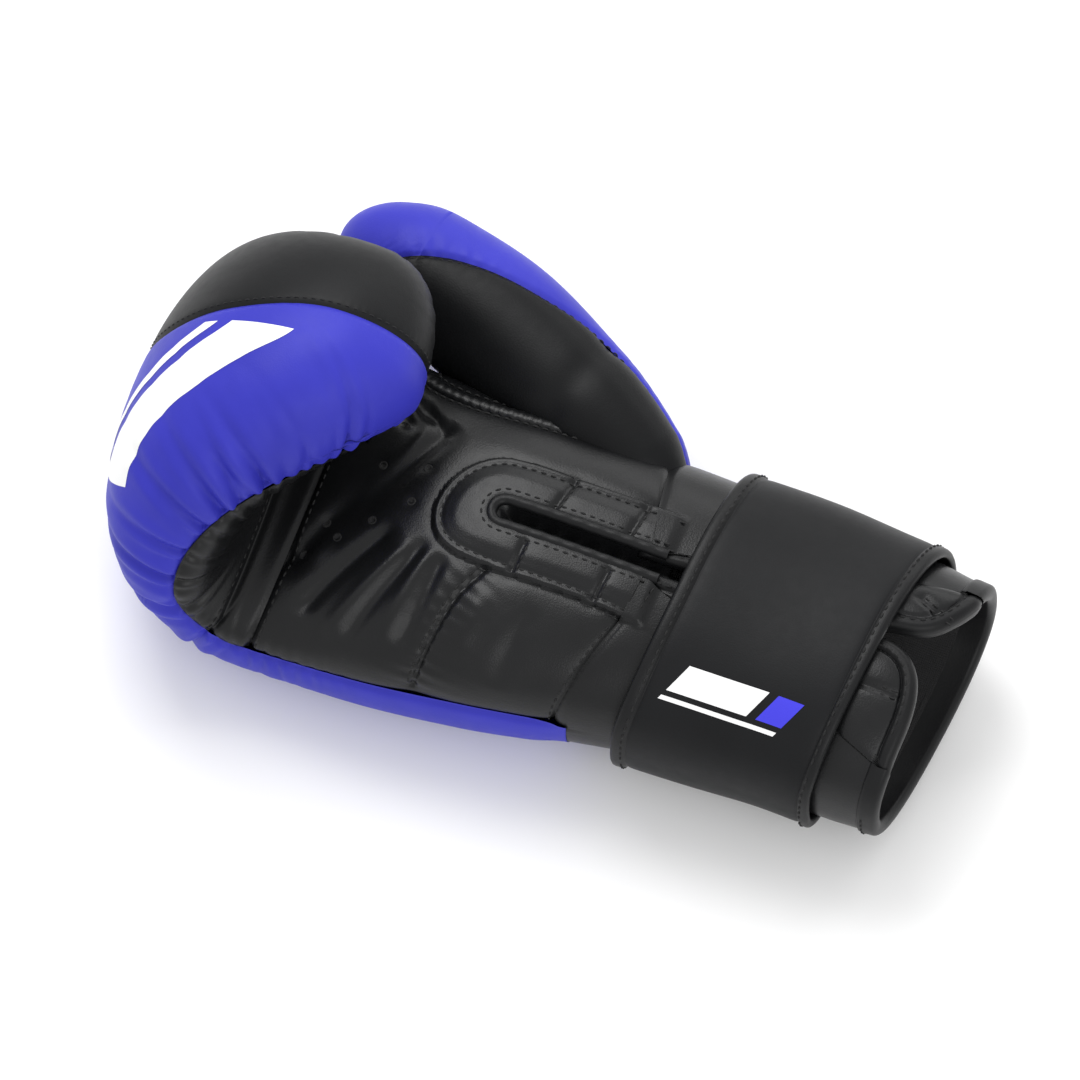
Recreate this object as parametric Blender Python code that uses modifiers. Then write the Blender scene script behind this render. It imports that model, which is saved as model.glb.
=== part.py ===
"""Boxing glove, right hand, lying on its back with the palm up.

Frame: +X runs from the fist to the cuff, +Y to the thumb side, +Z from the back
of the hand to the palm.  The origin is the middle of the base, on the surface the
glove lies on.  Lengths below are millimetres and become metres when a mesh is made.

The mitt is one curled tube.  Its spine runs straight through the cuff and the hand
and then turns back over the palm.  A point of the tube has a station LB along the
spine, measured from the cuff's end, an angle TH round the section (0 thumb side,
90 palm, 180 little-finger side, 270 back of the hand) and a depth D below the skin.
"""
import math

import bmesh
import bpy
import numpy as np
from mathutils import Matrix, Vector

# ---------------------------------------------------------------- driving sizes
CUFF_X = 155.0          # where the spine starts
SKIN = 1.3              # leather thickness
FOAM_TOP = 3.0          # depth of the foam's outer face below the skin's outer face
LINING = 1.1            # lining thickness
TIP_LB = 344.0          # station of the finger tip
CAP_LB = 318.0          # where the finger tip starts to round off
CUFF_LB = 122.6         # end of the cuff section
HAND_LB = 123.2         # start of the hand section
CURL_R = 31.0           # radius of the spine's curl
STRETCH = 0.16          # how much longer the curl is than its stations say
SLIT_Y = 4.0            # the palm slit's line
SLIT_X0 = -15.0         # the slit's blind end
SLIT_HALF = 3.6
STRAP_W = 76.0          # strap width
STRAP_IN, STRAP_MID, STRAP_OUT = 2.0, 3.5, 4.8   # strap layers above the cuff skin
HINGE_1, HINGE_2, HINGE_3 = 17.0, 160.0, 214.0   # angles of the strap's fold lines
TAIL_END = 262.0
ANCHOR_START = -62.0
FLAP_X0 = 33.0
FLAP_END = {1: 151.0, -1: 143.5}   # the thumb side's flap is longer
FOLD_Y = {1: 37.0, -1: -37.0}
CUT_Z = 44.0            # the flaps reach down to this height
SHIFT = (-3.8, -24.5)   # puts the origin at the middle of the base
N_SECTION = 2.35        # superellipse exponent of the sections
AROUND = 20             # section lines round the tube


def smooth(t):
    t = np.clip(t, 0.0, 1.0)
    return t * t * (3 - 2 * t)


def curve_through(xs, ys, x):
    """Monotone cubic through the points, level at both ends."""
    xs, ys, x = np.asarray(xs, float), np.asarray(ys, float), np.asarray(x, float)
    h = np.diff(xs)
    s = np.diff(ys) / h
    m = np.zeros(len(xs))
    for i in range(1, len(xs) - 1):
        if s[i - 1] * s[i] > 0:
            a, b = 2 * h[i] + h[i - 1], h[i] + 2 * h[i - 1]
            m[i] = (a + b) / (a / s[i - 1] + b / s[i])
    x = np.clip(x, xs[0], xs[-1])
    i = np.clip(np.searchsorted(xs, x) - 1, 0, len(h) - 1)
    t = (x - xs[i]) / h[i]
    return ((2 * t**3 - 3 * t**2 + 1) * ys[i] + (t**3 - 2 * t**2 + t) * h[i] * m[i]
            + (-2 * t**3 + 3 * t**2) * ys[i + 1] + (t**3 - t**2) * h[i] * m[i + 1])


# stations of the tables below
LB_T = (0, 20, 60, 95, 123, 160, 195, 225, 250, 280, 310, 344)
HALF_W = (49, 50.5, 51.5, 52.5, 55, 58.5, 61, 63, 65.5, 67, 66.5, 65.5)
MID_Y = (0.5, 1.5, 3, 3, 1.5, -0.5, -1.5, -0.5, 1, 2.5, 3, 3)
MID_Z = (38, 38, 38, 38, 38.5, 38, 36.5, 35, 35, 35, 35, 35)
PALM_H = (32, 32.5, 32.5, 33, 34, 35, 32, 25, 19, 17.5, 17, 17)
BACK_H = (31, 31.5, 32, 32, 33.6, 38.8, 39.5, 38, 37, 36.5, 36, 34)
# cavity: half width, middle above the spine, half height
CAV_W = (37.5, 39, 41, 42, 42, 43, 44, 44, 44, 44, 42, 40)
CAV_N = (0, 0, 0, 0.5, 3, 10, 13, 9, 5, 4, 4, 4)
CAV_H = (21, 22, 23, 23.5, 22.5, 17, 13, 11, 9.5, 9.5, 9, 9)

_L = np.arange(-10.0, 380.0, 0.25)
_K = (smooth((_L - 220) / 30) * (1 - smooth((_L - 314) / 18)) / CURL_R
      + smooth((_L - 314) / 18) / 75.0)
_DS = (1 + STRETCH * smooth((_L[1:] - 212) / 20)) * 0.25
_A = np.concatenate([[0], np.cumsum((_K[1:] + _K[:-1]) / 2 * _DS)])
_SX = CUFF_X + 10 - np.concatenate([[0], np.cumsum(np.cos((_A[1:] + _A[:-1]) / 2) * _DS)])
_SZ = np.concatenate([[0], np.cumsum(np.sin((_A[1:] + _A[:-1]) / 2) * _DS)])


def spine(l):
    a = np.interp(l, _L, _A)
    return np.interp(l, _L, _SX), np.interp(l, _L, _SZ), np.sin(a), np.cos(a)


def section(th, n=N_SECTION):
    c, s = np.cos(np.radians(th)), np.sin(np.radians(th))
    return (np.sign(c) * np.abs(c) ** (2 / n), np.sign(s) * np.abs(s) ** (2 / n))


def tip_of(lat):
    """Station of the finger tip: the little finger's side is shorter."""
    return curve_through((-1, -0.8, -0.4, 0, 0.3, 1), (292, 300, 318, 335, 344, 344), lat)


def cuff_slant(lb, y):
    """The cuff's end is cut at a slant: its little finger's side is shorter."""
    return -4.5 * (1 - smooth(lb / 40.0)) * (1 - y / 50.0)


def mitt(lb, th, d=0.0):
    """Point of the mitt's outer skin at station lb and angle th, d below the surface."""
    lb, th = np.broadcast_arrays(np.asarray(lb, float), np.asarray(th, float))
    c, s = section(th)
    tau = np.clip((lb - CAP_LB) / (TIP_LB - CAP_LB), 0, 1)
    ka = (1 - tau ** 2.6) ** (1 / 2.6)
    kb = np.sqrt(np.maximum(0, 1 - tau**2))
    lat = c * ka
    l = lb - smooth((lb - 235) / 83) * (TIP_LB - tip_of(lat)) - d * smooth((lb - 300) / 44)
    y = curve_through(LB_T, MID_Y, lb) + (curve_through(LB_T, HALF_W, lb) - d) * ka * c
    n = np.where(s > 0, curve_through(LB_T, PALM_H, lb), curve_through(LB_T, BACK_H, lb)) - d
    n = n * kb * s
    sx, sz, nx, nz = spine(l)
    x = sx + n * nx
    z = sz + curve_through(LB_T, MID_Z, lb) + n * nz
    z = np.where((s < 0) & (lb < 262), np.maximum(z, d), z)
    return np.stack([x + cuff_slant(lb, y), y, z], -1)


def cavity(lb, th, g=0.0):
    """Point of the hand's cavity, g outside it.  Past station 290 it is squeezed to end in the finger pocket."""
    lb, th = np.broadcast_arrays(np.asarray(lb, float), np.asarray(th, float))
    c, s = section(th, 2.2)
    l0 = np.where(lb > 290, 290 + (lb - 290) * 24 / 54, lb)
    tau = np.clip((l0 - 298) / 16, 0, 1)
    k = np.sqrt(np.maximum(0, 1 - tau**2))
    lat = c * k
    l = l0 - smooth((l0 - 235) / 75) * (TIP_LB - tip_of(lat)) * 0.8 + g * smooth((l0 - 285) / 29)
    y = curve_through(LB_T, MID_Y, lb) + (curve_through(LB_T, CAV_W, l0) + g) * k * c
    n = curve_through(LB_T, CAV_N, l0) + (curve_through(LB_T, CAV_H, l0) + g) * k * s
    sx, sz, nx, nz = spine(l)
    return np.stack([sx + n * nx + cuff_slant(lb, y), y, sz + curve_through(LB_T, MID_Z, l0) + n * nz], -1)


THUMB_V = (0, 0.15, 0.35, 0.55, 0.75, 0.9, 1.0)
THUMB_C = ((42, 41, 41), (24, 50, 42), (-8, 64.5, 44), (-40, 80, 46), (-70, 90, 48), (-90, 93.5, 50), (-107, 94, 51))
THUMB_W = (8, 17, 24, 25, 23, 21, 20)
THUMB_H = (14, 22, 27, 27.5, 26, 24, 23)
THUMB_CAP = 0.80


def thumb_axis(v, shift=0.0):
    c = np.stack([curve_through(THUMB_V, [p[i] for p in THUMB_C], v) for i in range(3)], -1)
    return c


def thumb_centre(v):
    """Smooth centre line of the thumb: a Catmull-Rom curve through THUMB_C."""
    v = np.asarray(v, float)
    p = np.array(THUMB_C, float)
    t = np.array(THUMB_V)
    m = np.zeros_like(p)
    m[1:-1] = (p[2:] - p[:-2]) / (t[2:] - t[:-2])[:, None]
    m[0], m[-1] = (p[1] - p[0]) / (t[1] - t[0]), (p[-1] - p[-2]) / (t[-1] - t[-2])
    i = np.clip(np.searchsorted(t, v) - 1, 0, len(t) - 2)
    h = (t[i + 1] - t[i])
    u = (v - t[i]) / h
    u, h = u[..., None], h[..., None]
    return ((2 * u**3 - 3 * u**2 + 1) * p[i] + (u**3 - 2 * u**2 + u) * h * m[i]
            + (-2 * u**3 + 3 * u**2) * p[i + 1] + (u**3 - u**2) * h * m[i + 1])


def thumb(v, t, d=0.0, w=THUMB_W, hh=THUMB_H, cap=THUMB_CAP):
    """Point of the thumb at v along it and angle t round it (0 outer side, 90 palm side), d below its skin."""
    v, t = np.broadcast_arrays(np.asarray(v, float), np.asarray(t, float))
    tau = np.clip((v - cap) / (1 - cap), 0, 1)
    k = np.sqrt(np.maximum(0, 1 - tau**2))
    vv = v - d / 155.0 * smooth((v - cap) / (1 - cap))
    p = thumb_centre(vv)
    q = thumb_centre(np.clip(vv + 0.01, 0, 1)) - thumb_centre(np.clip(vv - 0.01, 0, 1))
    q = q / np.linalg.norm(q, axis=-1, keepdims=True)
    side = np.cross(q, np.array([0.0, 0, 1]))
    side = side / np.linalg.norm(side, axis=-1, keepdims=True)
    up = np.cross(side, q)
    c, s = section(t, 2.2)
    a = (curve_through(THUMB_V, w, v) - d) * k
    b = (curve_through(THUMB_V, hh, v) - d) * k
    out = p + side * (a * c)[..., None] + up * (b * s)[..., None]
    out[..., 2] = np.maximum(out[..., 2], 14 + d)
    return out


# ---------------------------------------------------------------- Blender helpers
def clear_scene():
    for o in list(bpy.data.objects):
        bpy.data.objects.remove(o, do_unlink=True)
    for c in list(bpy.data.collections):
        bpy.data.collections.remove(c)


clear_scene()
GLOVE = bpy.data.collections.new("boxing_glove")
CUTTERS = bpy.data.collections.new("cutters")
bpy.context.scene.collection.children.link(GLOVE)
bpy.context.scene.collection.children.link(CUTTERS)


def material(name, color, roughness, metallic=0.0):
    m = bpy.data.materials.get(name)
    if m is None:
        m = bpy.data.materials.new(name)
        m.use_nodes = True
        b = m.node_tree.nodes["Principled BSDF"]
        b.inputs["Base Color"].default_value = (*color, 1)
        b.inputs["Roughness"].default_value = roughness
        b.inputs["Metallic"].default_value = metallic
    return m


BLUE = material("blue_leather", (0.07, 0.06, 0.55), 0.5)
BLACK = material("black_leather", (0.02, 0.02, 0.022), 0.5)
LINER = material("lining_fabric", (0.03, 0.03, 0.035), 0.9)
FOAM = material("foam", (0.6, 0.58, 0.5), 0.9)
WHITE = material("white_print", (0.85, 0.85, 0.85), 0.5)
LOOP = material("loop_pile", (0.02, 0.02, 0.02), 1.0)
BINDING = material("binding_tape", (0.025, 0.025, 0.027), 0.6)


def mesh_object(name, points, faces, mat, cutter=False):
    """One object from millimetre points, with its doubles merged and its faces turned outwards."""
    me = bpy.data.meshes.new(name)
    me.from_pydata([tuple(p) for p in np.asarray(points) / 1000.0], [], [tuple(f) for f in faces])
    bm = bmesh.new()
    bm.from_mesh(me)
    bmesh.ops.remove_doubles(bm, verts=bm.verts, dist=2e-6)
    bmesh.ops.dissolve_degenerate(bm, dist=1e-6, edges=bm.edges)
    bmesh.ops.recalc_face_normals(bm, faces=bm.faces)
    bm.to_mesh(me)
    bm.free()
    me.materials.append(mat)
    me.shade_smooth()
    me.set_sharp_from_angle(angle=math.radians(35))
    o = bpy.data.objects.new(name, me)
    (CUTTERS if cutter else GLOVE).objects.link(o)
    if cutter:
        o.hide_render = True
        o.display_type = "WIRE"
    return o


def loft_wall(name, outer, inner, mat, closed=False, cutter=False):
    """A wall between two lofted grids [i][j] of points, closed round j if asked, with its rims filled."""
    ni, nj = outer.shape[:2]
    pts = np.concatenate([outer.reshape(-1, 3), inner.reshape(-1, 3)])
    off = ni * nj
    faces = []

    def quad(a, b, c, d):
        faces.append((a, b, c))
        faces.append((a, c, d))

    jj = range(nj if closed else nj - 1)
    for i in range(ni - 1):
        for j in jj:
            k = (j + 1) % nj
            quad(i * nj + j, i * nj + k, (i + 1) * nj + k, (i + 1) * nj + j)
            quad(off + i * nj + j, off + (i + 1) * nj + j, off + (i + 1) * nj + k, off + i * nj + k)
    for j in jj:
        k = (j + 1) % nj
        for i in (0, ni - 1):
            quad(i * nj + j, off + i * nj + j, off + i * nj + k, i * nj + k)
    if not closed:
        for i in range(ni - 1):
            for j in (0, nj - 1):
                quad(i * nj + j, (i + 1) * nj + j, off + (i + 1) * nj + j, off + i * nj + j)
    return mesh_object(name, pts, faces, mat, cutter)


def loft_solid(name, grid, mat, cutter=False):
    """A closed solid from a lofted tube [i][j], its two ends filled with fans."""
    ni, nj = grid.shape[:2]
    pts = np.concatenate([grid.reshape(-1, 3), [grid[0].mean(0)], [grid[-1].mean(0)]])
    faces = []
    for i in range(ni - 1):
        for j in range(nj):
            k = (j + 1) % nj
            faces.append((i * nj + j, i * nj + k, (i + 1) * nj + k))
            faces.append((i * nj + j, (i + 1) * nj + k, (i + 1) * nj + j))
    for j in range(nj):
        k = (j + 1) % nj
        faces.append((ni * nj, j, k))
        faces.append((ni * nj + 1, (ni - 1) * nj + j, (ni - 1) * nj + k))
    return mesh_object(name, pts, faces, mat, cutter)


def lines(lo, hi, n=AROUND):
    """Angles from lo to hi: the tube's own section lines between them, and the two ends."""
    step = 360.0 / n
    own = [k * step for k in range(-n, 2 * n) if lo + step * 0.3 < k * step < hi - step * 0.3]
    return np.array([lo, *own, hi])


LB_ALL = np.array([1.0, 18, 38, 64, 92, CUFF_LB, HAND_LB, 142, 161, 181, 201, 218, 233, 246, 259, 272, 285, 298, 311, 321, 330, 337.5, 342, TIP_LB])


def stations(lo, hi):
    own = [x for x in LB_ALL if lo + 1.5 < x < hi - 1.5]
    return np.array([lo, *own, hi])


def wall(name, mat, lb, th, d0, d1, cutter=False):
    """A piece of the mitt between stations lb[0], lb[1], angles th(lb) and depths d0, d1."""
    ls = stations(*lb)
    lo = np.array([th[0](l) if callable(th[0]) else th[0] for l in ls])
    hi = np.array([th[1](l) if callable(th[1]) else th[1] for l in ls])
    t = np.clip(lines(lo.min(), hi.max())[None, :], lo[:, None], hi[:, None])
    l = np.repeat(ls[:, None], t.shape[1], 1)
    return loft_wall(name, mitt(l, t, d0), mitt(l, t, d1), mat, cutter=cutter)


def ring(name, mat, lb, outer_d, inner, cutter=False):
    """A whole ring of the tube: skin depth outer_d outside, inner(l, t) inside."""
    ls = stations(*lb)
    t = np.arange(AROUND) * 360.0 / AROUND
    l, t = np.meshgrid(ls, t, indexing="ij")
    return loft_wall(name, mitt(l, t, outer_d), inner(l, t), mat, closed=True, cutter=cutter)


def outline(name, points, z0, z1):
    """A flat outline in plan, as a filled 2D curve raised between z0 and z1, made a mesh for cutting."""
    cu = bpy.data.curves.new(name, "CURVE")
    cu.dimensions = "2D"
    cu.fill_mode = "BOTH"
    cu.extrude = (z1 - z0) / 2000.0
    sp = cu.splines.new("POLY")
    sp.points.add(len(points) - 1)
    for p, q in zip(sp.points, points):
        p.co = (q[0] / 1000.0, q[1] / 1000.0, 0, 1)
    sp.use_cyclic_u = True
    o = bpy.data.objects.new(name + "_curve", cu)
    o.location = (0, 0, (z0 + z1) / 2000.0)
    CUTTERS.objects.link(o)
    bpy.context.view_layer.update()
    me = bpy.data.meshes.new_from_object(o.evaluated_get(bpy.context.evaluated_depsgraph_get()))
    bm = bmesh.new()
    bm.from_mesh(me)
    bmesh.ops.remove_doubles(bm, verts=bm.verts, dist=1e-6)
    bmesh.ops.recalc_face_normals(bm, faces=bm.faces)
    bm.to_mesh(me)
    bm.free()
    new = bpy.data.objects.new(name, me)
    new.matrix_world = o.matrix_world
    CUTTERS.objects.link(new)
    bpy.data.objects.remove(o)
    new.hide_render = True
    new.display_type = "WIRE"
    return new


def cut(o, cutter, operation="DIFFERENCE"):
    """A Boolean applied at once, so that a piece can be cut several times in order."""
    m = o.modifiers.new("cut", "BOOLEAN")
    m.operation = operation
    m.solver = "EXACT"
    m.object = cutter
    bpy.context.view_layer.update()
    me = bpy.data.meshes.new_from_object(o.evaluated_get(bpy.context.evaluated_depsgraph_get()))
    o.modifiers.clear()
    old = o.data
    o.data = me
    bpy.data.meshes.remove(old)
    return o


def tube(name, points, radius, mat, res=2):
    """A round piece along a line: a bevelled curve made a mesh, its caps welded."""
    cu = bpy.data.curves.new(name, "CURVE")
    cu.dimensions = "3D"
    cu.bevel_depth = radius / 1000.0
    cu.bevel_resolution = res
    cu.use_fill_caps = True
    sp = cu.splines.new("POLY")
    sp.points.add(len(points) - 1)
    for p, q in zip(sp.points, points):
        p.co = (q[0] / 1000.0, q[1] / 1000.0, q[2] / 1000.0, 1)
    o = bpy.data.objects.new(name + "_line", cu)
    CUTTERS.objects.link(o)
    bpy.context.view_layer.update()
    me = bpy.data.meshes.new_from_object(o.evaluated_get(bpy.context.evaluated_depsgraph_get()))
    bm = bmesh.new()
    bm.from_mesh(me)
    bmesh.ops.remove_doubles(bm, verts=bm.verts, dist=1e-6)
    bmesh.ops.recalc_face_normals(bm, faces=bm.faces)
    bm.to_mesh(me)
    bm.free()
    me.materials.clear()
    me.materials.append(mat)
    new = bpy.data.objects.new(name, me)
    new.matrix_world = o.matrix_world
    GLOVE.objects.link(new)
    bpy.data.objects.remove(o)
    return new


def copy_of(o, name, cutter=False):
    n = o.copy()
    n.data = o.data.copy()
    n.name = name
    (CUTTERS if cutter else GLOVE).objects.link(n)
    n.hide_render = cutter
    return n


def arc_points(cx, cy, r, a0, a1, n=7):
    return [(cx + r * math.cos(math.radians(a)), cy + r * math.sin(math.radians(a))) for a in np.linspace(a0, a1, n)]


# ---------------------------------------------------------------- palm slit and cuff flaps, in plan
FOLD_GAP = 0.8


def fold_line(sign, offset):
    """The flap's fold line, moved offset away from the slit: y at x."""
    x0, y0, x1, y1 = FLAP_X0, SLIT_Y + sign * 2.2, FLAP_END[sign], FOLD_Y[sign]
    k = (y1 - y0) / (x1 - x0)
    return lambda x: y0 + k * (x - x0) + sign * offset * math.sqrt(1 + k * k)


def flap_outline(sign, inset=0.0, past_fold=-FOLD_GAP):
    """Plan outline of a cuff flap: slit edge, rounded corner, cuff end, fold line.  sign +1 thumb side, -1 little finger side."""
    half = SLIT_HALF - 0.2 + inset
    r = 24.0 - inset
    y_slit = SLIT_Y + sign * half
    x_end = FLAP_END[sign] - inset
    fold = fold_line(sign, past_fold)
    x_tip = FLAP_X0
    while sign * (fold(x_tip) - y_slit) < 0.8:
        x_tip += 0.25
    pts = [(x_tip, y_slit)]
    pts += arc_points(x_end - r, y_slit + sign * r, r, -90 * sign, 0, 8)
    pts += [(x_end, fold(x_end)), (x_tip, fold(x_tip))]
    return pts


# everything of the palm side that is not fixed: slit, flaps and the corner beyond them
FREE = arc_points(SLIT_X0 + SLIT_HALF, SLIT_Y, SLIT_HALF, 90, 270, 7)
FOLD_P, FOLD_T = fold_line(-1, FOLD_GAP), fold_line(1, FOLD_GAP)
FREE += [(FLAP_X0, SLIT_Y - SLIT_HALF), (FLAP_X0 + 2.5, FOLD_P(FLAP_X0 + 2.5)), (FLAP_END[-1], FOLD_P(FLAP_END[-1])),
         (170, FOLD_P(FLAP_END[-1])), (170, FOLD_T(FLAP_END[1])), (FLAP_END[1], FOLD_T(FLAP_END[1])),
         (FLAP_X0 + 2.5, FOLD_T(FLAP_X0 + 2.5)), (FLAP_X0, SLIT_Y + SLIT_HALF)]
free_cut = outline("cut_free", FREE, CUT_Z, 110)

# ---------------------------------------------------------------- mitt skins
PINKY_SEAM, THUMB_SEAM = 176.6, 5.0


def black_edge(lb):
    """Angle of the seam between the blue shell and the black side panel."""
    tau = min(1.0, max(0.0, (lb - CAP_LB) / (TIP_LB - CAP_LB)))
    ka = (1 - tau**2.6) ** (1 / 2.6)
    c = float(curve_through((214, 236, 262, 286, 302, 318, 344), (0.995, 0.5, 0.2, 0.2, 0.3, 0.42, 0.44), lb))
    c = min(1.0, c / max(ka, 1e-3))
    th = 360 - math.degrees(math.acos(c ** (N_SECTION / 2) if c < 1 else 1.0))
    return min(th, 363.4)


PANEL_LB = (222.0, 337.0)


def side_cutter(name, grow):
    """A thick slab over the black side panel, grown on all its edges."""
    ls = np.linspace(PANEL_LB[0] - grow, PANEL_LB[1] + grow, 30)
    lo = np.array([black_edge(l) - grow for l in ls])
    t = lo[:, None] + (369.0 - lo[:, None]) * np.linspace(0, 1, 9)[None, :]
    l = np.repeat(ls[:, None], 9, 1)
    return loft_wall(name, mitt(l, t, -6.0), mitt(l, t, 6.0), BLACK, cutter=True)


back_shell = wall("back_shell", BLUE, (HAND_LB, TIP_LB), (PINKY_SEAM + 0.4, 363.8), 0, SKIN)
fist_side_panel = copy_of(back_shell, "fist_side_panel")
fist_side_panel.data.materials.clear()
fist_side_panel.data.materials.append(BLACK)
cut(fist_side_panel, side_cutter("cut_side_inner", 0.0), "INTERSECT")
cut(back_shell, side_cutter("cut_side_outer", 0.6))
finger_panel = wall("finger_panel", BLACK, (236.0, TIP_LB), (THUMB_SEAM, PINKY_SEAM - 0.4), 0, SKIN)
HEEL_LB = 173.0
palm_panel = wall("palm_panel", BLACK, (HAND_LB, 235.3), (THUMB_SEAM, PINKY_SEAM - 0.4), 0, SKIN)
cut(palm_panel, wall("cut_heel", BLACK, (HAND_LB - 3, HEEL_LB + 0.6), (88.0, 182.0), -4, 5, cutter=True))
heel_panel = wall("heel_panel", BLACK, (HAND_LB, HEEL_LB), (89.0, PINKY_SEAM - 0.4), 0, SKIN)
for o in (palm_panel, heel_panel):
    cut(o, free_cut)


# ---------------------------------------------------------------- foam and lining
def foam_wall(name, lb, th):
    ls = stations(*lb)
    t = lines(*th)
    l, t = np.meshgrid(ls, t, indexing="ij")
    return loft_wall(name, mitt(l, t, FOAM_TOP), cavity(l, t, LINING + 0.6), FOAM)


knuckle_foam = foam_wall("knuckle_foam", (HAND_LB, TIP_LB), (180.4, 359.6))
palm_foam = foam_wall("palm_foam", (HAND_LB, 232.6), (0.4, 179.6))
finger_foam = foam_wall("finger_foam", (233.4, TIP_LB), (0.4, 179.6))
cut(palm_foam, free_cut)
cuff_foam = ring("cuff_foam", FOAM, (1.0, CUFF_LB), FOAM_TOP, lambda l, t: cavity(l, t, LINING + 0.6))
cuff_panel = ring("cuff_panel", BLACK, (1.0, CUFF_LB), 0.0, lambda l, t: mitt(l, t, SKIN))


def cavity_ring(name, lb, g0, g1, mat, cutter=False):
    ls = stations(*lb)
    l, t = np.meshgrid(ls, np.arange(AROUND) * 360.0 / AROUND, indexing="ij")
    return loft_wall(name, cavity(l, t, g0), cavity(l, t, g1), mat, closed=True, cutter=cutter)


hand_lining = cavity_ring("hand_lining", (1.0, TIP_LB), LINING, 0.0, LINER)
lining_cuff = cavity_ring("lining_cuff", (1.0, CUFF_LB), LINING, 0.0, LINER, cutter=True)
cuff_whole = ring("cuff_whole", BINDING, (1.0, CUFF_LB), -0.5, lambda l, t: cavity(l, t, -0.5), cutter=True)

flap_nodes = {}
for sign, side in ((1, "thumb"), (-1, "pinky")):
    inner = outline("cut_in_" + side, flap_outline(sign, inset=3.3), CUT_Z + 0.6, 110)
    inner_grown = outline("cut_in_grown_" + side, flap_outline(sign, inset=2.9, past_fold=2.0), 30, 120)
    outer = outline("cut_out_" + side, flap_outline(sign, inset=0.0), CUT_Z + 0.6, 110)
    for src, label in ((cuff_panel, "panel"), (cuff_foam, "foam"), (lining_cuff, "lining")):
        n = copy_of(src, f"flap_{side}_{label}")
        cut(n, inner, "INTERSECT")
        flap_nodes[f"{side}_{label}"] = n
    b = copy_of(cuff_whole, f"flap_{side}_binding")
    cut(b, outer, "INTERSECT")
    cut(b, inner_grown)
    flap_nodes[f"{side}_binding"] = b
for o in (cuff_foam, cuff_panel, hand_lining):
    cut(o, free_cut)

# cuff edge binding: a tape over the three layers at the cuff's end
cuff_binding = ring("cuff_binding", BINDING, (-2.6, 0.6), -0.6, lambda l, t: cavity(np.maximum(l, 0), t, -0.4) + np.stack([np.where(l < 0, -l, 0), l * 0, l * 0], -1))
cut(cuff_binding, free_cut)

# ---------------------------------------------------------------- slit dressing
u_out = arc_points(SLIT_X0 - 2.0, SLIT_Y + 1, 22.0, 90, 270, 11) + [(FLAP_X0 - 2.5, SLIT_Y - 20.5), (FLAP_X0 - 2.5, SLIT_Y + 22.5)]
u_plan = outline("cut_u", u_out, 50, 110)
ls = stations(HAND_LB + 1, 195.0)
t_u = lines(50.0, 130.0)
l_u, t_u = np.meshgrid(ls, t_u, indexing="ij")
slit_patch = loft_wall("slit_patch", mitt(l_u, t_u, -1.7), mitt(l_u, t_u, -0.6), BLACK)
cut(slit_patch, u_plan, "INTERSECT")
slot_plan = outline("cut_slot_patch", arc_points(SLIT_X0 + SLIT_HALF, SLIT_Y, SLIT_HALF, 90, 270, 7) + [(60, SLIT_Y - SLIT_HALF), (60, SLIT_Y + SLIT_HALF)], 40, 120)
cut(slit_patch, slot_plan)
# a soft roll lies in the slit, its gusset
gx = np.linspace(SLIT_X0 + 7.0, FLAP_X0 - 4.0, 7)
slit_gusset = tube("slit_gusset", np.stack([gx, gx * 0 + SLIT_Y, mitt(CUFF_X - gx, 90.0, 4.6)[..., 2]], -1), 2.5, BLACK)

# ---------------------------------------------------------------- thumb
V_ST = np.array([0.02, 0.12, 0.22, 0.32, 0.42, 0.52, 0.62, 0.72, 0.80, 0.87, 0.925, 0.965, 0.99, 1.0])
mitt_solid_t = np.arange(AROUND) * 360.0 / AROUND


def mitt_solid(name, d):
    l, t = np.meshgrid(LB_ALL[LB_ALL > 60], mitt_solid_t, indexing="ij")
    return loft_solid(name, mitt(l, t, d), BLACK, cutter=True)


def thumb_wall(name, mat, t0, t1, d0, d1, v0=0.02, n=11):
    vs = V_ST[V_ST >= v0]
    t = np.linspace(t0, t1, n)
    v, t = np.meshgrid(vs, t, indexing="ij")
    return loft_wall(name, thumb(v, t, d0), thumb(v, t, d1), mat)


THUMB_IN_W = (6, 9, 13, 14, 13.5, 13, 12)
THUMB_IN_H = (6, 10, 13, 14, 14, 13, 12)


def thumb_bore(grow, v0=0.16, v1=0.90):
    vs = np.array([v0, 0.25, 0.37, 0.5, 0.63, 0.75, 0.82, v1])
    v, t = np.meshgrid(vs, np.arange(12) * 30.0, indexing="ij")
    return thumb(v, t, -grow, THUMB_IN_W, THUMB_IN_H, 0.76)


mitt_outer = mitt_solid("mitt_outer", -1.0)
thumb_outer_shell = thumb_wall("thumb_outer_shell", BLUE, -152.0, 28.0, 0, SKIN, n=12)
thumb_inner_panel = thumb_wall("thumb_inner_panel", BLACK, 29.0, 207.0, 0, SKIN, n=12)
v, t = np.meshgrid(V_ST, np.arange(22) * 360.0 / 22, indexing="ij")
thumb_foam = loft_solid("thumb_foam", thumb(v, t, FOAM_TOP), FOAM)
bore_foam = loft_solid("cut_thumb_bore", thumb_bore(LINING + 0.7, 0.10, 0.905), FOAM, cutter=True)
for o in (thumb_outer_shell, thumb_inner_panel, thumb_foam):
    cut(o, mitt_outer)
cut(thumb_foam, bore_foam)
for o in (palm_foam, knuckle_foam, hand_lining, back_shell, palm_panel):
    cut(o, bore_foam)
thumb_lining = loft_solid("thumb_lining", thumb_bore(LINING), LINER)
bore_in = loft_solid("cut_thumb_in", thumb_bore(0.0, 0.08, 0.89), LINER, cutter=True)
cut(thumb_lining, bore_in)
thumb_throat = copy_of(thumb_lining, "thumb_throat")
cut(thumb_lining, mitt_outer)
cut(thumb_throat, mitt_solid("cut_mitt_inner", 0.4), "INTERSECT")
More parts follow.
